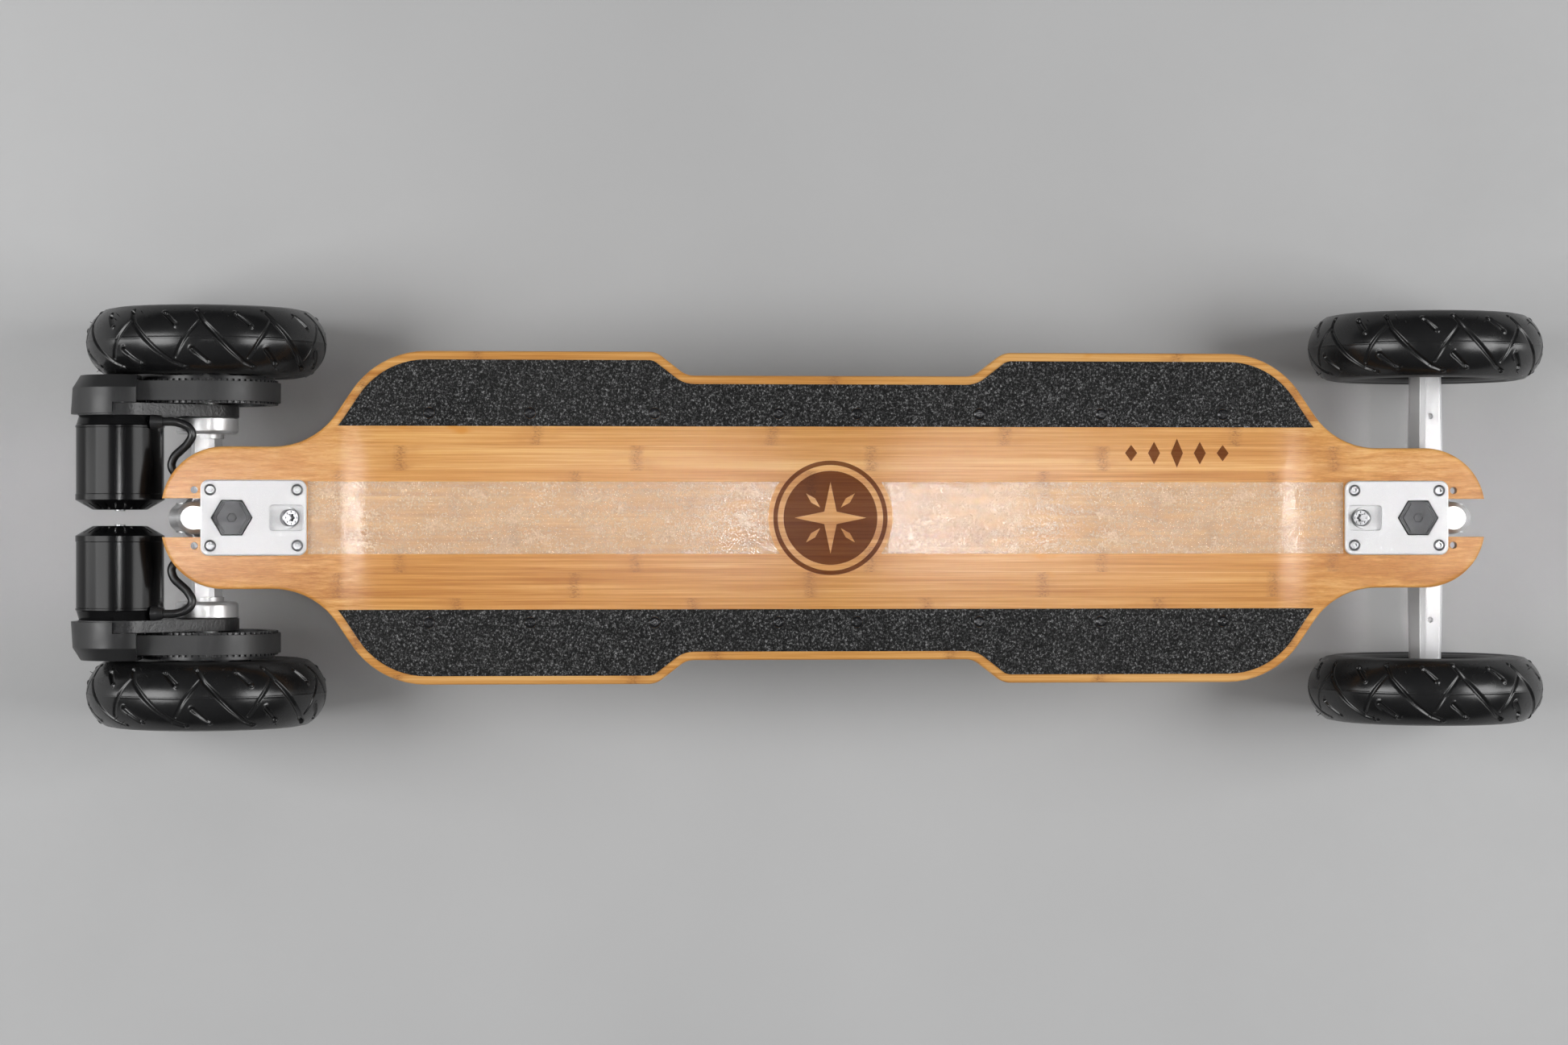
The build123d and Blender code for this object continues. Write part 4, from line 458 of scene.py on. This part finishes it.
# ------------------------------------------------------------------ tyres
REPEATS = 10                # times the tread pattern comes round the tyre
AROUND = REPEATS * 84       # grid columns round the tyre
CROWN_ROWS = 109            # grid rows across the tread
HAIRS = 26                  # moulding hairs on a tyre
TYRE_LOW, TYRE_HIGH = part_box("tyre_front_left")
TYRE_RADIUS = (TYRE_HIGH.z - TYRE_LOW.z) / 2
TYRE_HALF = (TYRE_HIGH.y - TYRE_LOW.y) / 2
CROWN = 28.0 * MM           # radius of the tread's cross-section
CROWN_CENTRE = TYRE_RADIUS - CROWN
PATTERN_PITCH = 2 * math.pi * TYRE_RADIUS / MM / REPEATS    # millimetres


def segment_distance(p, q, a, b):
    """Distance of every (p, q) from the segment a-b."""
    ax, ay, bx, by = a[0], a[1], b[0], b[1]
    dx, dy = bx - ax, by - ay
    t = np.clip(((p - ax) * dx + (q - ay) * dy) / (dx * dx + dy * dy), 0, 1)
    return np.hypot(p - ax - t * dx, q - ay - t * dy)


def tread_depth(p, q):
    """How deep the tread is cut at circumferential place p and axial place q, both in millimetres."""
    depth = np.zeros_like(p)
    main = [(0.0, 22.5), (7.1, 10.5), (17.6, 0.0), (26.2, -8.0), (38.8, -18.0), (48.9, -22.5)]
    back = [(4.0, 13.0), (-2.0, 5.9), (-8.5, -2.0), (-15.5, -13.8)]
    upper, lower = [(31.0, 19.5), (42.7, 8.2)], [(-1.7, -8.0), (11.6, -19.4)]
    strokes = [(a, b, 1.75, 1.7) for a, b in zip(main, main[1:])]
    strokes += [(a, b, 1.45, 0.9) for a, b in zip(back, back[1:])]
    strokes += [(*upper, 1.9, 1.9), (*lower, 1.9, 1.9)]
    pips = [main[0], main[-1], upper[0], upper[1], lower[1]]
    for shift in (-PATTERN_PITCH, 0.0, PATTERN_PITCH):
        for a, b, half, deep in strokes:
            d = segment_distance(p, q, (a[0] + shift, a[1]), (b[0] + shift, b[1]))
            depth = np.maximum(depth, deep * np.clip(1.0 - (d / half) ** 2, 0, 1))
            lip = np.exp(-((d - half - 0.7) / 0.65) ** 2) * 0.42
            depth = np.where(depth > 0.02, depth, np.minimum(depth, -lip))
    for shift in (-PATTERN_PITCH, 0.0, PATTERN_PITCH):
        for place in pips:
            d = np.hypot(p - place[0] - shift, q - place[1])
            depth = np.where(d < 1.8, -0.8 * np.clip(1.0 - (d / 1.8) ** 2, 0, 1) ** 0.5, depth)
    return depth


def tyre_profile():
    """Cross-section as (y, radius) points: one sidewall, the crown, then the other sidewall."""
    reach = math.asin((TYRE_HALF - 1.2 * MM) / CROWN)
    rows = []
    for k in range(CROWN_ROWS):
        a = reach * (1 - 2 * k / (CROWN_ROWS - 1))
        rows.append((CROWN * math.sin(a), CROWN_CENTRE + CROWN * math.cos(a)))
    wall = [(25.4, 70.0), (25.4, 67.5), (25.1, 65.5), (25.3, 63.6), (25.3, 62.8), (24.6, 62.2), (24.5, 60.0),
            (24.3, 57.0), (23.4, 53.5), (22.4, 52.0), (22.3, 50.8), (21.2, 50.0), (19.4, 48.6), (17.4, 47.6),
            (16.8, 46.6), (16.8, 43.0)]
    left = [(y * MM, r * MM) for y, r in reversed(wall)]
    right = [(-y * MM, r * MM) for y, r in wall]
    return left, rows, right


def add_hairs(vertices, faces):
    """Tapered rubber hairs on both shoulders, left by the mould's vents."""
    root = CROWN - 0.4 * MM
    thick = 0.28 * MM
    sides = 6
    rng = np.random.default_rng(7)
    for _ in range(HAIRS):
        turn = rng.uniform(0, 2 * math.pi)
        side = rng.choice([-1, 1])
        lean = side * rng.uniform(0.55, 1.0)
        length = rng.uniform(2.0, 4.2) * MM
        foot_r = CROWN_CENTRE + root * math.cos(lean)
        foot = np.array([foot_r * math.sin(turn), root * math.sin(lean), foot_r * math.cos(turn)])
        flat = math.cos(lean)
        out = np.array([flat * math.sin(turn), math.sin(lean), flat * math.cos(turn)])
        side_a = np.cross(out, (0.3, 1.0, 0.2))
        side_a /= np.linalg.norm(side_a)
        side_b = np.cross(out, side_a)
        bend = side_a * rng.uniform(-0.8, 0.8) * MM
        start = len(vertices)
        for share, wide in ((0.0, 1.6), (0.35, 1.0), (1.0, 0.55)):
            for m in range(sides):
                t = 2 * math.pi * m / sides
                vertices.append(foot + out * length * share + bend * share ** 2
                                + thick * wide * (math.cos(t) * side_a + math.sin(t) * side_b))
        for level in range(2):
            for m in range(sides):
                i = start + level * sides + m
                j = start + level * sides + (m + 1) % sides
                faces.append((i, j, j + sides, i + sides))
        faces.append(tuple(range(start + 2 * sides, start + 3 * sides)))
        faces.append(tuple(reversed(range(start, start + sides))))


def tyre_mesh():
    """One tyre about the Y axis at the origin: tread cut into a fine grid, a seam line, moulding hairs."""
    left, crown, right = tyre_profile()
    profile = left + crown + right
    inner = [(-13.0 * MM, 43.0 * MM), (-13.0 * MM, 48.0 * MM), (13.0 * MM, 48.0 * MM), (13.0 * MM, 43.0 * MM)]
    section = np.array(profile + inner)
    count = len(section)
    angles = np.arange(AROUND) * (2 * math.pi / AROUND)
    y = np.repeat(section[None, :, 0], AROUND, 0)
    r = np.repeat(section[None, :, 1], AROUND, 0)
    on_crown = np.zeros(count, bool)
    on_crown[len(left):len(left) + len(crown)] = True
    lean = np.arctan2(section[:, 0], section[:, 1] - CROWN_CENTRE)
    arc = CROWN * lean / MM
    p = np.repeat((angles * TYRE_RADIUS / MM)[:, None] % PATTERN_PITCH, count, 1)
    q = np.repeat((arc * 0.93)[None, :], AROUND, 0)
    depth = tread_depth(p, q)
    seam = -0.22 * np.exp(-(q / 0.5) ** 2)
    depth = np.where(np.abs(depth) < 0.01, seam, depth)
    fade = np.clip((31.0 - np.abs(arc)) / 2.0, 0, 1)[None, :]
    depth = np.where(on_crown[None, :], depth * fade, 0.0) * MM
    y = y - depth * np.sin(lean)[None, :] * on_crown
    r = r - depth * np.cos(lean)[None, :] * on_crown
    a = angles[:, None]
    vertices = np.stack([r * np.sin(a), y, r * np.cos(a)], -1).reshape(-1, 3)
    faces = grid_faces(AROUND, count, close_rows=True, close_columns=True)
    vertices = list(vertices)
    faces = [tuple(reversed(f)) for f in faces]
    add_hairs(vertices, faces)
    return vertices, faces


def make_tyres():
    vertices, faces = tyre_mesh()
    for end in ("front", "rear"):
        for side in ("left", "right"):
            tag = f"{end}_{side}"
            obj = new_object(f"tread_tyre_{tag}", vertices, faces, "tyre_rubber", 0)
            obj.data.polygons.foreach_set("use_smooth", [True] * len(obj.data.polygons))
            obj.location = Vector(JOINTS[f"wheel_spin_{tag}"]["pos_m"])
            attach(obj, f"wheel_{tag}")
            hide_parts(f"tyre_{tag}")


# ------------------------------------------------------------------ bushings and cables
def lathe(name, profile, origin, axis, slot, sides=56):
    """A closed profile of (radius, height) points turned about an axis through the origin."""
    z = Vector(axis).normalized()
    x = z.cross(Vector((0, 1, 0))).normalized()
    y = z.cross(x)
    vertices = []
    for radius, height in profile:
        for k in range(sides):
            a = 2 * math.pi * k / sides
            vertices.append(Vector(origin) + (x * math.cos(a) + y * math.sin(a)) * radius + z * height)
    faces = grid_faces(len(profile), sides, close_rows=True, close_columns=True)
    return new_object(name, vertices, faces, slot, 40.0)


def barrel(low, high, outer, inner):
    """A urethane bushing's section: rounded rims and a slightly swollen waist."""
    points = []
    rim = 1.3 * MM
    for k in range(5):
        a = math.pi / 2 * k / 4
        points.append((outer - rim + rim * math.sin(a), low + rim - rim * math.cos(a)))
    for k in range(1, 8):
        t = k / 8
        points.append((outer + 0.35 * MM * math.sin(math.pi * t), low + rim + (high - low - 2 * rim) * t))
    for k in range(5):
        a = math.pi / 2 * k / 4
        points.append((outer - rim + rim * math.cos(a), high - rim + rim * math.sin(a)))
    return points + [(inner, high), (inner, low)]


def kingpin_direction(pivot):
    """Square to a truck's pivot axis, in the board's middle plane, pointing down."""
    return Vector((math.copysign(pivot.z, pivot.x), 0, -abs(pivot.x)))


def make_bushings():
    """Each bushing squeezes between its seat and the ring of its joint."""
    ring, tall, outer, inner = 4.0 * MM, 11.0 * MM, 12.4 * MM, 5.1 * MM
    for end in ("front", "rear"):
        stages = (("base", "board", f"{end}_carrier", "base_bushings"),
                  ("hanger", f"{end}_carrier", f"{end}_hanger", f"{end}_hanger_bushings"))
        for stage, seat, swing, node in stages:
            joint = JOINTS[f"{end}_{stage}_pivot"]
            centre, pivot = Vector(joint["pos_m"]), Vector(joint["axis"])
            down = kingpin_direction(pivot)
            halves = (("upper", -ring - tall + 1.2 * MM, -ring, -1), ("lower", ring, ring + tall, 1))
            for part, low, high, side in halves:
                profile = barrel(low, high, outer, inner)
                obj = lathe(f"{end}_{stage}_bushing_{part}", profile, centre, down, "urethane")
                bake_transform(obj)
                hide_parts(node)
            toward = 1 if stage == "base" else -1
            reach = 32.0 * MM if stage == "base" else 30.0 * MM
            ball = centre + pivot * toward * reach
            cup = [(8.2 * MM, -6.0 * MM), (8.5 * MM, -5.6 * MM), (8.5 * MM, 6.6 * MM), (8.1 * MM, 6.9 * MM),
                   (0.02 * MM, 6.9 * MM)]
            for k in range(9):
                a = math.pi / 2 * k / 8
                cup.append((6.06 * MM * math.sin(a) + 0.02 * MM, 6.06 * MM * math.cos(a)))
            cup += [(6.06 * MM, -5.5 * MM), (6.5 * MM, -6.0 * MM)]
            obj = lathe(f"{end}_{stage}_pivot_cup", cup, ball, pivot * toward, "urethane")
            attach(obj, seat)
            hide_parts(node)


def make_cables():
    """Each motor lead's free loop, in two lengths that meet half way, one across each rear pivot."""
    lead_radius = 3.2 * MM
    for side, sign in (("left", 1), ("right", -1)):
        x, _, z = JOINTS[f"motor_spin_{side}"]["pos_m"]

        def at(dx, y, dz):
            return (x + dx * MM, sign * y * MM, z + dz * MM)

        outer = [at(25.5, 71.0, 19.5), at(33.0, 71.2, 20.0), at(43.0, 71.0, 18.6), at(52.0, 67.5, 17.4),
                 at(55.0, 61.5, 16.7), at(51.5, 54.8, 16.4), at(46.6, 50.0, 16.2)]
        inner = [at(46.6, 50.0, 16.2), at(41.8, 45.2, 16.0), at(39.8, 38.5, 15.8), at(43.0, 33.0, 15.0),
                 at(51.0, 30.3, 12.6), at(63.5, 30.0, 11.0)]
        first = tube(f"motor_cable_{side}_outer", outer, lead_radius, "cable_black")
        second = tube(f"motor_cable_{side}_inner", inner, lead_radius, "cable_black")
        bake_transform(first)
        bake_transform(second)
        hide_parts("motor_cables")
        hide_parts("motor_cables")
        profile = [(3.3 * MM, -3.0 * MM), (5.4 * MM, -3.0 * MM), (5.4 * MM, 0.5 * MM), (4.8 * MM, 3.0 * MM),
                   (4.1 * MM, 6.0 * MM), (3.3 * MM, 6.3 * MM)]
        gland = lathe(f"motor_cable_gland_{side}", profile, at(28.0, 71.0, 19.8), (1, 0, 0.05), "cable_black")
        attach(gland, "rear_hanger")


# ------------------------------------------------------------------ deck graphics
DECK_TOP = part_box("clear_grip")[0].z
DECK_MIDDLE_X = sum(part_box("deck")[i].x for i in (0, 1)) / 2


def flat_shape(name, loops, height, material, body="board"):
    """A thin flat inlay: the first loop is its outline and the rest are holes, in metres on the deck."""
    curve = bpy.data.curves.new(name, "CURVE")
    curve.dimensions = "2D"
    curve.fill_mode = "BOTH"
    curve.extrude = height / 2
    for loop in loops:
        spline = curve.splines.new("POLY")
        spline.points.add(len(loop) - 1)
        for point, (px, py) in zip(spline.points, loop):
            point.co = (px, py, 0, 1)
        spline.use_cyclic_u = True
    shape = bpy.data.objects.new(name, curve)
    bpy.context.scene.collection.objects.link(shape)
    bpy.context.view_layer.update()
    mesh = bpy.data.meshes.new_from_object(shape)
    bpy.data.objects.remove(shape)
    obj = bpy.data.objects.new(name, mesh)
    bpy.context.scene.collection.objects.link(obj)
    mesh.transform(Matrix.Translation((0, 0, DECK_TOP + height / 2)))
    paint(obj, material)
    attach(obj, body)
    return obj


def circle(cx, cy, radius, count=160):
    return [(cx + radius * math.cos(2 * math.pi * k / count), cy + radius * math.sin(2 * math.pi * k / count))
            for k in range(count)]


def star(cx, cy, points, outer, inner, turn=0.0):
    loop = []
    for k in range(2 * points):
        radius = outer if k % 2 == 0 else inner
        a = turn + math.pi * k / points
        loop.append((cx + radius * math.cos(a), cy + radius * math.sin(a)))
    return loop


def make_graphics():
    """A stained ring and disc with a plain compass star, and a small row of lozenges further forward."""
    stained = bamboo("stained_bamboo", (0.210, 0.105, 0.060))
    x = DECK_MIDDLE_X
    inlay = 0.12 * MM
    flat_shape("emblem_ring", [circle(x, 0, 43.0 * MM), circle(x, 0, 39.7 * MM)], inlay, stained)
    rose = [circle(x, 0, 35.3 * MM), star(x, 0, 4, 27.0 * MM, 6.6 * MM)]
    for k in range(4):
        a = math.pi / 4 + k * math.pi / 2
        rose.append(star(x + 18.5 * MM * math.cos(a), 18.5 * MM * math.sin(a), 2, 7.5 * MM, 2.2 * MM, a))
    flat_shape("emblem_disc", rose, inlay, stained)
    for k in range(5):
        long_half = (11.0 - abs(k - 2) * 2.4) * MM
        lozenge = star(x + (228 + 17.5 * k) * MM, 49 * MM, 2, long_half, 4.6 * MM, math.pi / 2)
        flat_shape(f"deck_lozenge_{k}", [lozenge], inlay, stained)


# ------------------------------------------------------------------ floor, light and camera
WORLD_GLOW = (0.07, 0.25)   # radiance at the horizon and straight above
BOX_WATTS = 44.0
RIM_WATTS = 9.0
GLOW_WATTS = 0.05
GLOW_SPREAD = 7.0           # degrees, narrow enough to light one bend of the deck
CAMERA_LENS = 76.5


def area_light(name, place, target, size, power, spread=180.0):
    data = bpy.data.lights.new(name, "AREA")
    data.shape = "RECTANGLE"
    data.size, data.size_y = size
    data.energy = power
    data.spread = math.radians(spread)
    lamp = bpy.data.objects.new(name, data)
    lamp.location = Vector(place)
    lamp.rotation_mode = "QUATERNION"
    lamp.rotation_quaternion = (Vector(target) - Vector(place)).to_track_quat("-Z", "Y")
    lamp.visible_camera = False
    bpy.context.scene.collection.objects.link(lamp)


def make_floor():
    bpy.ops.mesh.primitive_plane_add(size=30)
    floor = bpy.context.object
    floor.name = "floor"
    s = Shader("floor_plaster")
    cloud = s.noise(1.3, 4.0)
    speck = s.noise(60.0, 4.0, 0.7)
    colour = s.mix(s.remap(cloud, 0.3, 0.7), (0.455, 0.455, 0.455), (0.52, 0.52, 0.52))
    roughness = s.remap(speck, 0.3, 0.7, 0.62, 0.82)
    material = s.finish(Base_Color=colour, Roughness=roughness, Normal=s.bump(speck, 0.0004, 0.25))
    paint(floor, material)


def make_world():
    """An even glow that brightens from the horizon up."""
    world = bpy.data.worlds.new("studio")
    bpy.context.scene.world = world
    world.use_nodes = True
    tree = world.node_tree
    split = tree.nodes.new("ShaderNodeSeparateXYZ")
    fade = tree.nodes.new("ShaderNodeMapRange")
    fade.inputs["From Min"].default_value, fade.inputs["From Max"].default_value = 0.10, 0.95
    fade.inputs["To Min"].default_value, fade.inputs["To Max"].default_value = WORLD_GLOW
    tree.links.new(tree.nodes.new("ShaderNodeTexCoord").outputs["Generated"], split.inputs[0])
    tree.links.new(split.outputs[2], fade.inputs["Value"])
    background = tree.nodes["Background"]
    background.inputs["Color"].default_value = (0.97, 0.98, 1.0, 1)
    tree.links.new(fade.outputs[0], background.inputs["Strength"])


def make_lights():
    """A soft box and a low rim light at each end, and a narrow glow on each of the deck's two bends."""
    for side, x in (("rear", -1.0), ("front", 1.0)):
        area_light(f"{side}_box", (2.1 * x, 0.0, 1.98), (0.35 * x, 0, 0.1), (1.3, 1.5), BOX_WATTS)
        area_light(f"{side}_rim", (2.7 * x, 0.0, 0.75), (0.4 * x, 0, 0.12), (0.35, 1.6), RIM_WATTS)
    for side, lamp_x, bend_x in (("rear", -0.158, -0.352), ("front", 0.551, 0.353)):
        area_light(f"{side}_bend_glow", (lamp_x, 0.0, 2.15), (bend_x, 0, 0.15), (0.10, 0.6), GLOW_WATTS,
                   GLOW_SPREAD)


def make_camera():
    """Looks down on the deck, a little from the rear, with the board's left side up in the picture."""
    target = Vector((DECK_MIDDLE_X - 35.0 * MM, -3.5 * MM, DECK_TOP))
    place = target + Vector((-175.0, 0.0, 2494.0)) * MM
    back = (place - target).normalized()
    up = Vector((0, 1, 0))
    right = up.cross(back).normalized()
    data = bpy.data.cameras.new("camera")
    data.sensor_width = 36.0
    data.lens = CAMERA_LENS
    camera = bpy.data.objects.new("camera", data)
    camera.matrix_world = Matrix((
        (right.x, up.x, back.x, place.x),
        (right.y, up.y, back.y, place.y),
        (right.z, up.z, back.z, place.z),
        (0, 0, 0, 1)))
    bpy.context.scene.collection.objects.link(camera)
    bpy.context.scene.camera = camera


make_tyres()
make_bushings()
make_cables()
make_graphics()
make_floor()
make_world()
make_lights()
make_camera()
bpy.context.scene.view_settings.view_transform = "Standard"
